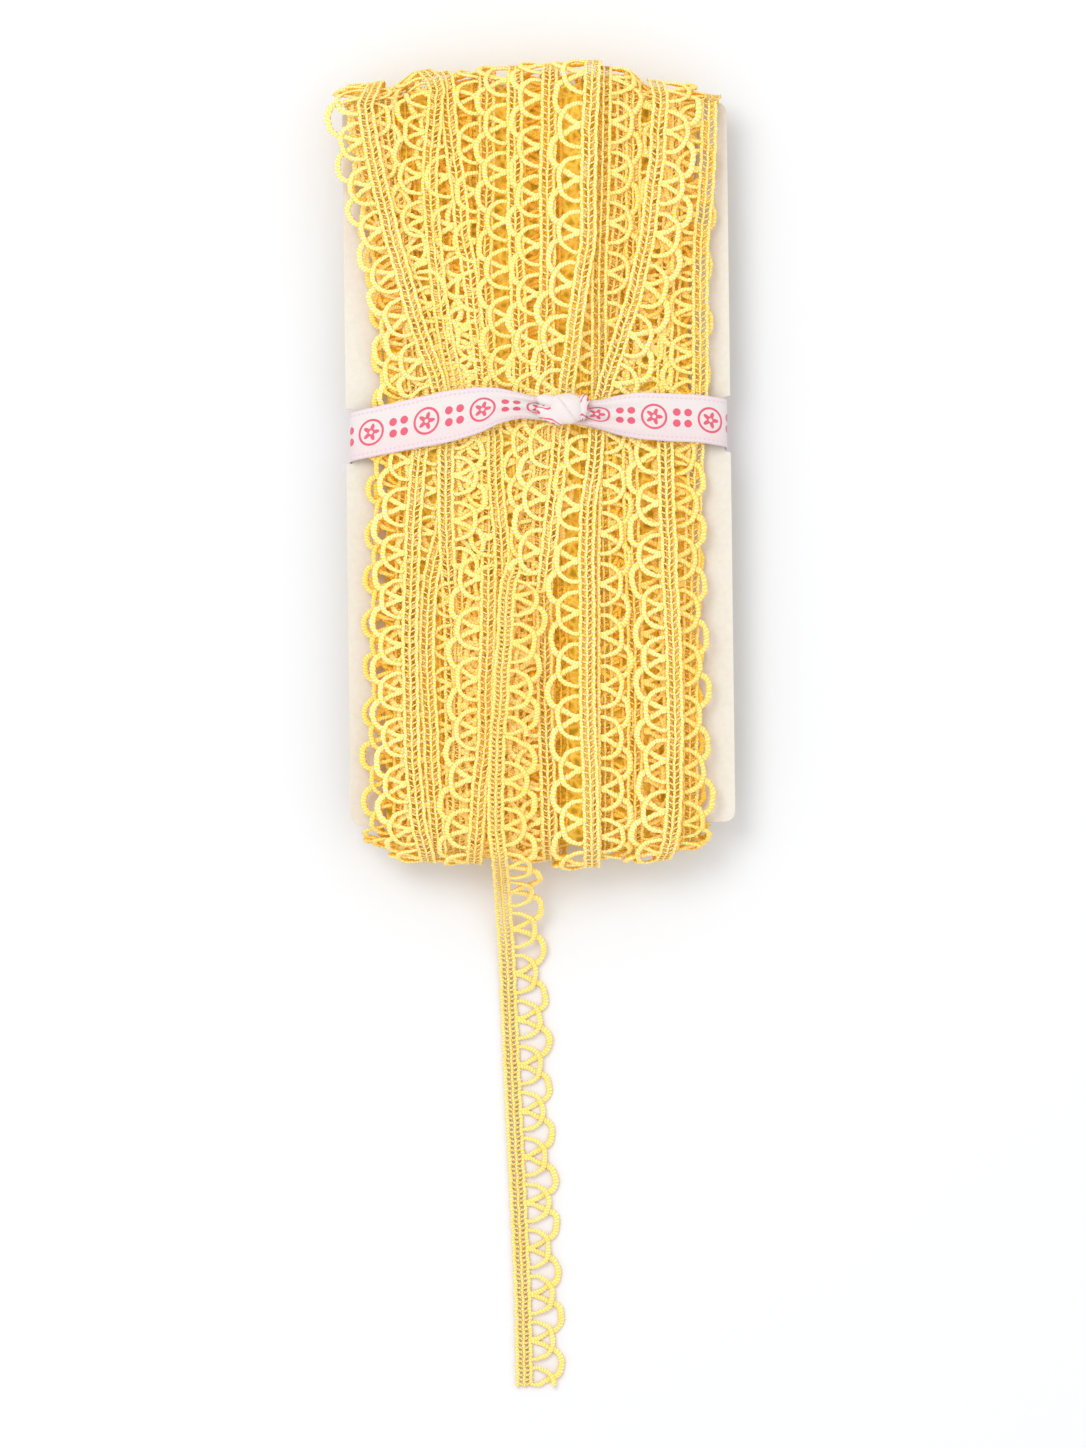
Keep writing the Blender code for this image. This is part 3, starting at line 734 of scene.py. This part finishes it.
# the places without those under 1.5 mm from the one before
def dropClose(spots):
    kept = [spots[0]]
    for spot in spots[1:]:
        if math.dist(spot, kept[-1]) > 1.5 * mm:
            kept.append(spot)
    return kept


# a front row's path round the winding, carried on over both ends
def frontPath(facts):
    spots = [toWinding(*spot) for spot in facts["spots"]]
    reach = winding["halfLength"] + winding["arc"] * 0.8
    if facts["spots"][0][1] < 120:
        spots = [(reach, spots[0][1])] + spots
    if facts["spots"][-1][1] > 845:
        spots = spots + [(-reach, spots[-1][1])]
    return smoothLine(dropClose(spots), 1.0 * mm)


# way along a path to where it passes a height of the photo
def wayAtHeight(path, py):
    steps = np.linalg.norm(np.diff(path, axis=0), axis=1)
    way = np.concatenate([[0], np.cumsum(steps)])
    s, _ = toWinding(529, py)
    return float(np.interp(-s, -path[:, 0], way))


# the inner layers, one closed belt round the card under the rows
def makeInnerWinding():
    around, across = 220, 56
    full = 2 * (2 * winding["halfLength"] + winding["arc"])
    bpy.ops.mesh.primitive_torus_add(
        major_segments=around, minor_segments=2 * across, major_radius=0.05, minor_radius=0.01)
    belt = bpy.context.object
    belt.name = "innerWinding"
    points = []
    s = np.arange(around) / around * full - full / 2
    for station in s:
        half = winding["halfLength"]
        beyond = abs(station) - half
        y = math.copysign(min(abs(station), half), station)
        if beyond > winding["arc"]:
            y = math.copysign(half - (beyond - winding["arc"]), station)
        left, right = sidesAt(y)
        p = np.linspace(left + winding["inset"], right - winding["inset"], across)
        rows = np.abs(((p / (7.2 * mm) + 0.3 * math.sin(station * 40)) % 1.0) - 0.5)
        ripple = 0.35 * mm * np.cos(rows * 2 * math.pi) - 0.3 * mm
        outer = windingPoint(np.full(across, station), p, ripple)
        points += list(outer) + list(innerPoint(station, p[::-1]))
    writePoints(belt, np.array(points))
    activate(belt)
    bpy.ops.object.mode_set(mode="EDIT")
    bpy.ops.mesh.select_all(action="SELECT")
    bpy.ops.mesh.normals_make_consistent(inside=False)
    bpy.ops.object.mode_set(mode="OBJECT")
    belt.data.shade_smooth()
    return belt


# the face of the winding that lies against the card
def innerPoint(station, p):
    half = winding["halfLength"]
    beyond = abs(station) - half
    turning = min(max(beyond / winding["arc"], 0.0), 1.0)
    phi = math.pi / 2 - math.pi * turning
    y = math.copysign(min(abs(station), half), station)
    if beyond > winding["arc"]:
        y = math.copysign(half - (beyond - winding["arc"]), station)
    out = math.cos(phi) if 0 < turning < 1 else 0.0
    y += math.copysign(winding["inner"] * out, station)
    turn = winding["turn"]
    x = cardCentre.x + p * math.cos(turn) - y * math.sin(turn)
    yWorld = cardCentre.y + p * math.sin(turn) + y * math.cos(turn)
    z = np.full(len(p), cardCentre.z + winding["inner"] * math.sin(phi))
    return np.stack([x, yWorld, z], axis=-1)


# lower layers of lace seen through the gaps: small loops in deep yellow, with painted shade darkening the hollows
# between them
def makeLayersMaterial():
    material, tree, shader = newMaterial("innerLayers", roughness=0.85, sheen=0.3)
    links = tree.links
    place = tree.nodes.new("ShaderNodeTexCoord")
    cells = addNode(tree, "ShaderNodeTexVoronoi", Scale=520.0, Randomness=0.85)
    cells.feature = "DISTANCE_TO_EDGE"
    links.new(place.outputs["Object"], cells.inputs["Vector"])
    noise = addNode(tree, "ShaderNodeTexNoise", Scale=300.0, Detail=4.0)
    links.new(place.outputs["Object"], noise.inputs["Vector"])
    # painted shade: the cells' middles, the hollows between the loops, darker
    colour = addRamp(tree, cells.outputs["Distance"],
                     ((0.0, (0.97, 0.78, 0.20)), (0.13, (0.90, 0.60, 0.05)), (0.32, (0.46, 0.31, 0.02))))
    cloud = addRamp(tree, noise.outputs["Fac"], ((0.3, (0.88, 0.80, 0.50)), (0.7, (1.0, 1.0, 1.0))))
    colour = mixColours(tree, "MULTIPLY", 0.8, colour, cloud)
    links.new(colour, shader.inputs["Base Color"])
    # painted glow: the same faint emission on the inner layers
    shader.inputs["Emission Color"].default_value = yarn["paintedGlow"]
    shader.inputs["Emission Strength"].default_value = yarn["paintedGlowShare"]
    bump = addNode(tree, "ShaderNodeBump", Strength=1.0, Distance=0.0006)
    bump.invert = True
    links.new(cells.outputs["Distance"], bump.inputs["Height"])
    links.new(bump.outputs["Normal"], shader.inputs["Normal"])
    return material


inner = makeInnerWinding()
inner.data.materials.append(makeLayersMaterial())
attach(inner, "root")
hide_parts("wound_trim")
print("stage: inner winding")

plainRows = ("rowQ", "rowF2")
for name, facts in frontRows.items():
    if name == "rowLoose":
        continue
    path = frontPath(facts)
    heights = layerHeight(facts["layers"], path[:, 0])
    top = max(facts["layers"])
    detail = "plain" if name in plainRows else "fine"
    pitch = facts["pitch"] / photo["pixelsPerMm"] * mm
    row = layRow(name, path, heights, facts["side"], detail, pitch,
                 wayAtHeight(path, facts["tip"]), shadeDepth=max(0.0, 1 - top / 4.2))
print("stage: front rows")

# rows deep in the front, evenly spaced, that fill the gaps between the upper ones
deepRows = {"count": 8, "first": -25.5 * mm, "step": 7.2 * mm, "pitch": 9.2 * mm}


def makeDeepRows():
    for number in range(deepRows["count"]):
        across = deepRows["first"] + deepRows["step"] * number
        reach = winding["halfLength"] + winding["arc"] * 0.55
        s = np.linspace(reach, -reach, 9)
        squeeze = 1 - 0.05 * waistAt(s)
        spots = np.stack([s, across * squeeze + 0.6 * mm * np.sin(s * 55 + number)], axis=1)
        path = smoothLine(spots, 1.0 * mm)
        heights = np.full(len(path), 0.35 * mm)
        side = "left" if number % 2 == 0 else "right"
        row = layRow(f"deepRow{number}", path, heights, side, "plain", deepRows["pitch"],
                     (number * 0.37 % 1) * deepRows["pitch"], shadeDepth=1.0)


backRows = {"count": 9, "first": -25.5 * mm, "step": 7.2 * mm, "layer": 2.2, "pitch": 9.4 * mm}


def makeBackRows():
    half = winding["halfLength"]
    arc = winding["arc"]
    for number in range(backRows["count"]):
        across = backRows["first"] + backRows["step"] * number
        s = np.linspace(half + arc * 0.45, 3 * half + arc * 1.55, 11)
        middle = 2 * half + arc
        sway = 0.9 * mm * np.sin((s - middle) * 38 + number * 1.7)
        squeeze = 1 - 0.06 * np.exp(-((s - middle - winding["waistPlace"]) / (20 * mm)) ** 2)
        spots = np.stack([s, across * squeeze + sway], axis=1)
        path = smoothLine(spots, 1.0 * mm)
        layer = backRows["layer"] + (0.9 if number % 2 else 0.0)
        heights = np.full(len(path), layer * layerStep)
        row = layRow(f"backRow{number}", path, heights, "right", "fine", backRows["pitch"],
                     (number * 0.41 % 1) * backRows["pitch"], shadeDepth=0.0)


makeDeepRows()
makeBackRows()
print("stage: deep rows and back rows")


# the loose end: the front row that leaves the winding, over its lower end to the surface

looseEnd = {
    # side view past the winding, mm: place along y, height of the middle
    "fall": ((-26.4, 16.6), (-29.0, 13.2), (-31.0, 9.8), (-33.6, 6.6), (-37.6, 3.8), (-43.0, 1.7),
             (-49.0, 0.75), (-56.0, 0.5), (-64.0, 0.45)),
    "floorHeight": 0.45 * mm,
    # middle of its heading on the surface, pixels
    "floorSpots": ((508.5, 1000), (513, 1100), (518, 1200), (522.5, 1300), (524.5, 1392)),
    "fallSpots": ((501, 870), (502.5, 895), (504.5, 925), (507, 960)),
    "length": 0,
}


# middle line of the loose row's heading in the scene, top to bottom
def looseLine():
    facts = frontRows["rowLoose"]
    path = smoothLine([toWinding(*spot) for spot in facts["spots"]], 1.0 * mm)
    heights = layerHeight(facts["layers"], path[:, 0])
    line = [tuple(point) for point in windingPoint(path[:, 0], path[:, 1], heights)]
    lastAlong = line[-1][1]
    spots = [fromPhoto(*spot) for spot in facts["spots"][-2:-1] + looseEnd["fallSpots"] + looseEnd["floorSpots"]]
    alongs = np.array([y for _, y in spots])[::-1]
    acrosses = np.array([x for x, _ in spots])[::-1]
    over = [(-21.5, 19.3), (-24.2, 18.3)]
    for y, z in tuple(over) + looseEnd["fall"]:
        if y * mm < lastAlong - 2 * mm:
            line.append((float(np.interp(y * mm, alongs, acrosses)), y * mm, z * mm))
    for x, y in spots:
        if y < looseEnd["fall"][-1][0] * mm - 4 * mm:
            line.append((x, y, looseEnd["floorHeight"]))
    return smoothLine(dropClose(line), 1.0 * mm)


def makeLooseRow():
    line = looseLine()
    way = np.concatenate([[0], np.cumsum(np.linalg.norm(np.diff(line, axis=0), axis=1))])
    facts = frontRows["rowLoose"]
    pitch = 9.25 * mm
    _, tipY = fromPhoto(529, facts["tip"])
    tipWay = float(np.interp(-tipY, -line[:, 1], way))
    phase = (tipWay / pitch - 0.5) % 1.0 * pitch
    total = int((way[-1] - phase) / pitch)
    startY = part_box("loose_end")[1][1]
    startWay = float(np.interp(-startY, -line[:, 1], way))
    first = int((startWay - phase) / pitch)
    for name, low, high in (("looseRowFront", 0, first), ("looseEnd", first, total)):
        obj, points = copyRepeats(name, "close", high - low, pitch)
        points[:, 0] += phase + low * pitch
        points = uneven(points, 4)
        u = points[:, 0]
        centre, along = followPath(line, way, u, 1.2 * mm)
        across = np.cross(along, [0, 0, 1.0])
        across /= np.linalg.norm(across, axis=1)[:, None]
        across *= -1.0 if across[0, 0] < 0 else 1.0
        up = np.cross(across, along)
        up *= np.sign(up[:, 2:3])
        away = points[:, 1] - lace["heading"] / 2
        loops = np.clip((points[:, 1] - lace["heading"]) / (6.5 * mm), 0, 1)
        lift = points[:, 2] - 0.10 * mm * loops + 0.10 * mm * np.sin(u / (6.1 * mm)) * loops
        placed = centre + across * away[:, None] + up * lift[:, None]
        placed[:, 2] = np.maximum(placed[:, 2], 0.03 * mm + 0.05 * (points[:, 2] + 0.5 * mm).clip(0))
        finishRow(obj, placed, 0.0, False)
        if name == "looseEnd":
            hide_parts("loose_end")
            looseEnd["length"] = (high - low) * pitch
    print("stage: loose end", round(looseEnd["length"] / mm, 1), "mm long")


makeLooseRow()


# the ribbon round the waist and its knot

ribbon = {
    "thickness": 0.25 * mm,
    "across": 20,
    # its upper and lower edge on the front, pixels: x, top, bottom
    "front": ((340, 414, 464), (352, 412, 461), (400, 402, 452), (450, 391, 443), (480, 388, 434), (500, 389, 424),
              (520, 394, 419), (545, 400, 421), (565, 402, 424), (585, 402, 426), (600, 401, 430),
              (618, 396, 436), (640, 393, 440), (670, 394, 442), (700, 395, 443), (727, 399, 447), (740, 400, 448)),
    "knotAt": (565, 411),
    "puckerReach": 11 * mm,
    "puckerDepth": 0.55 * mm,
    "puckers": 3.5,
}


def makeSatin(name, printed):
    material, tree, shader = newMaterial(name, roughness=0.34, sheen=0.25, specular=0.5)
    shader.inputs["Anisotropic"].default_value = 0.3
    links = tree.links
    uv = tree.nodes.new("ShaderNodeUVMap")
    uv.uv_map = "cloth"
    split = tree.nodes.new("ShaderNodeSeparateXYZ")
    links.new(uv.outputs["UV"], split.inputs["Vector"])
    weave = addNode(tree, "ShaderNodeTexWave", Scale=5.5, Distortion=0.6, Detail=1.0)
    weave.bands_direction = "Y"
    links.new(uv.outputs["UV"], weave.inputs["Vector"])
    noise = addNode(tree, "ShaderNodeTexNoise", Scale=3.0, Detail=3.0)
    links.new(uv.outputs["UV"], noise.inputs["Vector"])
    ground = addRamp(tree, noise.outputs["Fac"], ((0.3, (0.69, 0.605, 0.605)), (0.7, (0.72, 0.675, 0.66))))

    def maths(operation, first, second=0.0):
        node = tree.nodes.new("ShaderNodeMath")
        node.operation = operation
        for number, value in enumerate((first, second)):
            if hasattr(value, "is_linked"):
                links.new(value, node.inputs[number])
            else:
                node.inputs[number].default_value = value
        return node.outputs["Value"]

    # selvedge: the last millimetre at both edges, with small stitches along it
    fromMiddle = maths("ABSOLUTE", maths("SUBTRACT", split.outputs["Y"], 5.0))
    selvedge = maths("GREATER_THAN", fromMiddle, 4.0)
    stitch = maths("GREATER_THAN", maths("SINE", maths("MULTIPLY", split.outputs["X"], 6.6)), 0.15)
    onLine = maths("LESS_THAN", maths("ABSOLUTE", maths("SUBTRACT", fromMiddle, 4.1)), 0.2)
    marks = maths("MULTIPLY", stitch, onLine)
    # painted shade: the ribbon pinker and darker towards its lower edge
    fall = addRamp(tree, maths("MULTIPLY", split.outputs["Y"], 0.1), ((0.0, (1.0, 0.91, 0.92)), (0.6, (1.0, 1.0, 1.0))))
    ground = mixColours(tree, "MULTIPLY", 1.0, ground, fall)
    colour = mixColours(tree, "MIX", maths("MULTIPLY", selvedge, 0.55), ground, (0.73, 0.60, 0.65))
    colour = mixColours(tree, "MIX", maths("MULTIPLY", marks, 0.55), colour, (0.62, 0.46, 0.52))
    if printed:
        # a plain motif: pink rings with a five-petalled flower, and pairs of bold dots between
        beat = maths("FLOORED_MODULO", split.outputs["X"], 11.5)
        dx = maths("SUBTRACT", beat, 5.75)
        dy = maths("SUBTRACT", split.outputs["Y"], 5.0)
        away = maths("SQRT", maths("ADD", maths("MULTIPLY", dx, dx), maths("MULTIPLY", dy, dy)))
        ring = maths("LESS_THAN", maths("ABSOLUTE", maths("SUBTRACT", away, 2.45)), 0.24)
        angle = maths("ARCTAN2", dy, dx)
        petal = maths("ADD", 1.25, maths("MULTIPLY", maths("COSINE", maths("MULTIPLY", angle, 5.0)), 0.5))
        flower = maths("LESS_THAN", away, petal)
        heart = maths("LESS_THAN", away, 0.38)
        flower = maths("SUBTRACT", flower, heart)
        aside = maths("SUBTRACT", maths("ABSOLUTE", dx), 4.6)
        above = maths("SUBTRACT", maths("ABSOLUTE", dy), 1.15)
        far = maths("SQRT", maths("ADD", maths("MULTIPLY", aside, aside), maths("MULTIPLY", above, above)))
        dots = maths("LESS_THAN", far, 0.8)
        ink = maths("MINIMUM", maths("ADD", maths("ADD", ring, flower), dots), 1.0)
        colour = mixColours(tree, "MIX", maths("MULTIPLY", ink, 0.92), colour, (0.66, 0.035, 0.10))
    links.new(colour, shader.inputs["Base Color"])
    height = maths("ADD", maths("MULTIPLY", weave.outputs["Fac"], 0.25), maths("MULTIPLY", selvedge, 1.0))
    height = maths("SUBTRACT", height, maths("MULTIPLY", marks, 0.8))
    bump = addNode(tree, "ShaderNodeBump", Strength=0.5, Distance=0.00008)
    links.new(height, bump.inputs["Height"])
    links.new(bump.outputs["Normal"], shader.inputs["Normal"])
    return material


satinPrint = makeSatin("printedSatin", True)
satinPlain = makeSatin("plainSatin", False)
ribbonNode = frame["nodes"]["ribbon_tie"]


def ribbonSurface():
    mesh = ribbonNode.data
    points = [ribbonNode.matrix_world @ vertex.co for vertex in mesh.vertices]
    return BVHTree.FromPolygons(points, [tuple(face.vertices) for face in mesh.polygons])


# a thin sheet from rows of points, with the cloth's own flat coordinates in mm
def clothSheet(name, grid, coordinates, thickness, material, closed=False):
    count, across = grid.shape[:2]
    faces = []
    flats = []
    spans = count if closed else count - 1
    for i in range(spans):
        for j in range(across - 1):
            k = (i + 1) % count
            faces.append((i * across + j, k * across + j, k * across + j + 1, i * across + j + 1))
            corners = ((i, j), (i + 1, j), (i + 1, j + 1), (i, j + 1))
            flats += [coordinates(*corner) for corner in corners]
    mesh = bpy.data.meshes.new(name)
    mesh.from_pydata([tuple(p) for p in grid.reshape(-1, 3)], [], faces)
    layer = mesh.uv_layers.new(name="cloth")
    layer.data.foreach_set("uv", [value for pair in flats for value in pair])
    mesh.materials.append(material)
    obj = bpy.data.objects.new(name, mesh)
    bpy.context.scene.collection.objects.link(obj)
    wall = obj.modifiers.new("thickness", "SOLIDIFY")
    wall.thickness = thickness
    wall.offset = 0.0
    applyModifiers(obj)
    obj.data.shade_smooth()
    return obj


def makeRibbon():
    tree = ribbonSurface()
    low, high = (Vector(corner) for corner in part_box("ribbon_tie"))
    edges = np.array(ribbon["front"], float)
    scale = mm / photo["pixelsPerMm"]
    tableX = (edges[:, 0] - photo["originPixel"][0]) * scale
    topY = (photo["originPixel"][1] - edges[:, 1]) * scale
    bottomY = (photo["originPixel"][1] - edges[:, 2]) * scale
    knotX, knotY = fromPhoto(*ribbon["knotAt"])
    inset = 0.5 * mm
    xs = np.linspace(low.x + inset, high.x - inset, 96)
    leftY = (topY[0] + bottomY[0]) / 2
    rightY = (topY[-1] + bottomY[-1]) / 2

    def heightAt(x, y, fromAbove):
        start = Vector((x, y, 0.05 if fromAbove else -0.05))
        hit = tree.ray_cast(start, Vector((0, 0, -1 if fromAbove else 1)))[0]
        return hit.z if hit else cardCentre.z

    rings = []
    across = ribbon["across"]
    for x in xs:                                        # the front, left to right
        top = float(np.interp(x, tableX, topY))
        bottom = float(np.interp(x, tableX, bottomY))
        middle = (top + bottom) / 2
        z = heightAt(x, middle, True)
        near = math.exp(-(((x - knotX) / ribbon["puckerReach"]) ** 2))
        ring = []
        for j in range(across + 1):
            share = j / across
            fold = math.cos((share - 0.5) * 2 * math.pi * ribbon["puckers"] * (1 - 0.3 * near))
            rise = ribbon["puckerDepth"] * near * fold
            curl = -0.35 * mm * (2 * share - 1) ** 2 * near
            ring.append((x, bottom + (top - bottom) * share, z + rise + curl))
        rings.append(ring)
    for x in xs[::-1]:                                  # the back, right to left
        share = (x - xs[0]) / (xs[-1] - xs[0])
        middle = leftY + (rightY - leftY) * share
        z = heightAt(x, middle, False)
        rings.append([(x, middle + (j / across - 0.5) * 9.9 * mm, z) for j in range(across + 1)])
    grid = np.array(rings)
    # soften the corners at the card's edges
    for _ in range(2):
        grid = 0.5 * grid + 0.25 * (np.roll(grid, 1, axis=0) + np.roll(grid, -1, axis=0))
    walked = np.concatenate([[0], np.cumsum(np.linalg.norm(np.diff(grid[:, across // 2], axis=0), axis=1))])
    closing = np.linalg.norm(grid[0, across // 2] - grid[-1, across // 2])
    walked = np.append(walked, walked[-1] + closing)

    def flat(i, j):
        return walked[i] / mm, 10.0 * j / across

    obj = clothSheet("ribbonTie", grid, flat, ribbon["thickness"], satinPrint, closed=True)
    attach(obj, "root")
    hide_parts("ribbon_tie")
    print("stage: ribbon", round(walked[-1] / mm, 1), "mm round")


knot = {
    # rounded folds: middle in pixels, length, breadth and height in mm, turn in degrees, height of
    # its middle, and how far its lower left side is sunk under a slanting crease
    "folds": (
        {"at": (566, 410), "size": (6.8, 6.2, 3.5), "turn": -8, "rise": 1.2, "sunk": 0.42, "material": satinPlain},
        {"at": (551, 416), "size": (6.4, 3.4, 2.3), "turn": -24, "rise": 0.8, "sunk": 0.0, "material": satinPrint},
        {"at": (551, 403), "size": (6.0, 2.6, 2.0), "turn": -14, "rise": 0.85, "sunk": 0.0, "material": satinPlain},
        {"at": (582, 409), "size": (2.6, 5.4, 2.4), "turn": -10, "rise": 0.95, "sunk": 0.0, "material": satinPrint},
    ),
    "boxiness": 0.82,
}


# one rounded fold of the knot, creased along its length
def makeFold(facts, low, number):
    bpy.ops.mesh.primitive_uv_sphere_add(segments=64, ring_count=40, radius=1.0)
    fold = bpy.context.object
    x, y, z = readPoints(fold).T
    across = np.clip((0.10 - x * 0.75 - y * 0.66) / 0.14, 0, 1)
    sunk = facts["sunk"] * across * across * (3 - 2 * across)
    crease = 0.03 * np.cos(5.0 * (y + 0.5 * x) + number) + 0.015 * np.cos(11.0 * (y + 0.6 * x) + 1.0)
    swell = 1 + crease * (1 - np.abs(z) ** 3)
    x, y = (np.sign(value) * np.abs(value) ** knot["boxiness"] for value in (x, y))
    long, broad, tall = (value * mm / 2 for value in facts["size"])
    turn = math.radians(facts["turn"])
    c, s = math.cos(turn), math.sin(turn)
    middle, along = fromPhoto(*facts["at"])
    x, y = x * long * swell, y * broad * swell
    placed = np.stack([middle + x * c - y * s, along + x * s + y * c,
                       low.z + facts["rise"] * mm + z * tall * (swell - sunk)], axis=1)
    writePoints(fold, placed)
    layer = fold.data.uv_layers.active
    layer.name = "cloth"
    flat = np.empty(len(fold.data.loops) * 2)
    layer.data.foreach_get("uv", flat)
    flat = flat.reshape(-1, 2) * np.array([20.0, 7.0]) + np.array([0.0, 1.5])
    layer.data.foreach_set("uv", flat.ravel())
    fold.data.materials.append(facts["material"])
    fold.data.shade_smooth()
    return fold


# the knot: rounded folds of satin pressed together
def makeKnot():
    low, high = (Vector(corner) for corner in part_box("ribbon_knot"))
    folds = [makeFold(facts, low, number) for number, facts in enumerate(knot["folds"])]
    core = folds[0]
    core.name = "ribbonKnot"
    activate(core)
    for fold in folds[1:]:
        fold.select_set(True)
    bpy.ops.object.join()
    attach(core, "root")
    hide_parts("ribbon_knot")
    print("stage: knot")


makeRibbon()
makeKnot()


# the card keeps its own solid and gets a board's surface

def makeBoard():
    material, tree, shader = newMaterial("creamBoard", roughness=0.7, specular=0.25)
    links = tree.links
    place = tree.nodes.new("ShaderNodeTexCoord")
    pulp = addNode(tree, "ShaderNodeTexNoise", Scale=900.0, Detail=5.0, Roughness=0.65)
    links.new(place.outputs["Object"], pulp.inputs["Vector"])
    stain = addNode(tree, "ShaderNodeTexNoise", Scale=28.0, Detail=3.0)
    links.new(place.outputs["Object"], stain.inputs["Vector"])
    colour = addRamp(tree, pulp.outputs["Fac"], ((0.35, (0.68, 0.645, 0.575)), (0.65, (0.71, 0.69, 0.625))))
    cloud = addRamp(tree, stain.outputs["Fac"], ((0.35, (0.96, 0.94, 0.90)), (0.65, (1.0, 1.0, 1.0))))
    colour = mixColours(tree, "MULTIPLY", 0.8, colour, cloud)
    links.new(colour, shader.inputs["Base Color"])
    bump = addNode(tree, "ShaderNodeBump", Strength=0.25, Distance=0.00004)
    links.new(pulp.outputs["Fac"], bump.inputs["Height"])
    links.new(bump.outputs["Normal"], shader.inputs["Normal"])
    return material


cardNode = frame["nodes"]["card"]
cardNode.material_slots[0].material = makeBoard()
print("stage: card")

for obj in repeats.values():
    bpy.data.objects.remove(obj, do_unlink=True)

total = 0
for obj in bpy.context.scene.objects:
    if obj.type == "MESH" and not obj.hide_render:
        obj.data.calc_loop_triangles()
        total += len(obj.data.loop_triangles)
print("stage: triangles in all", total)
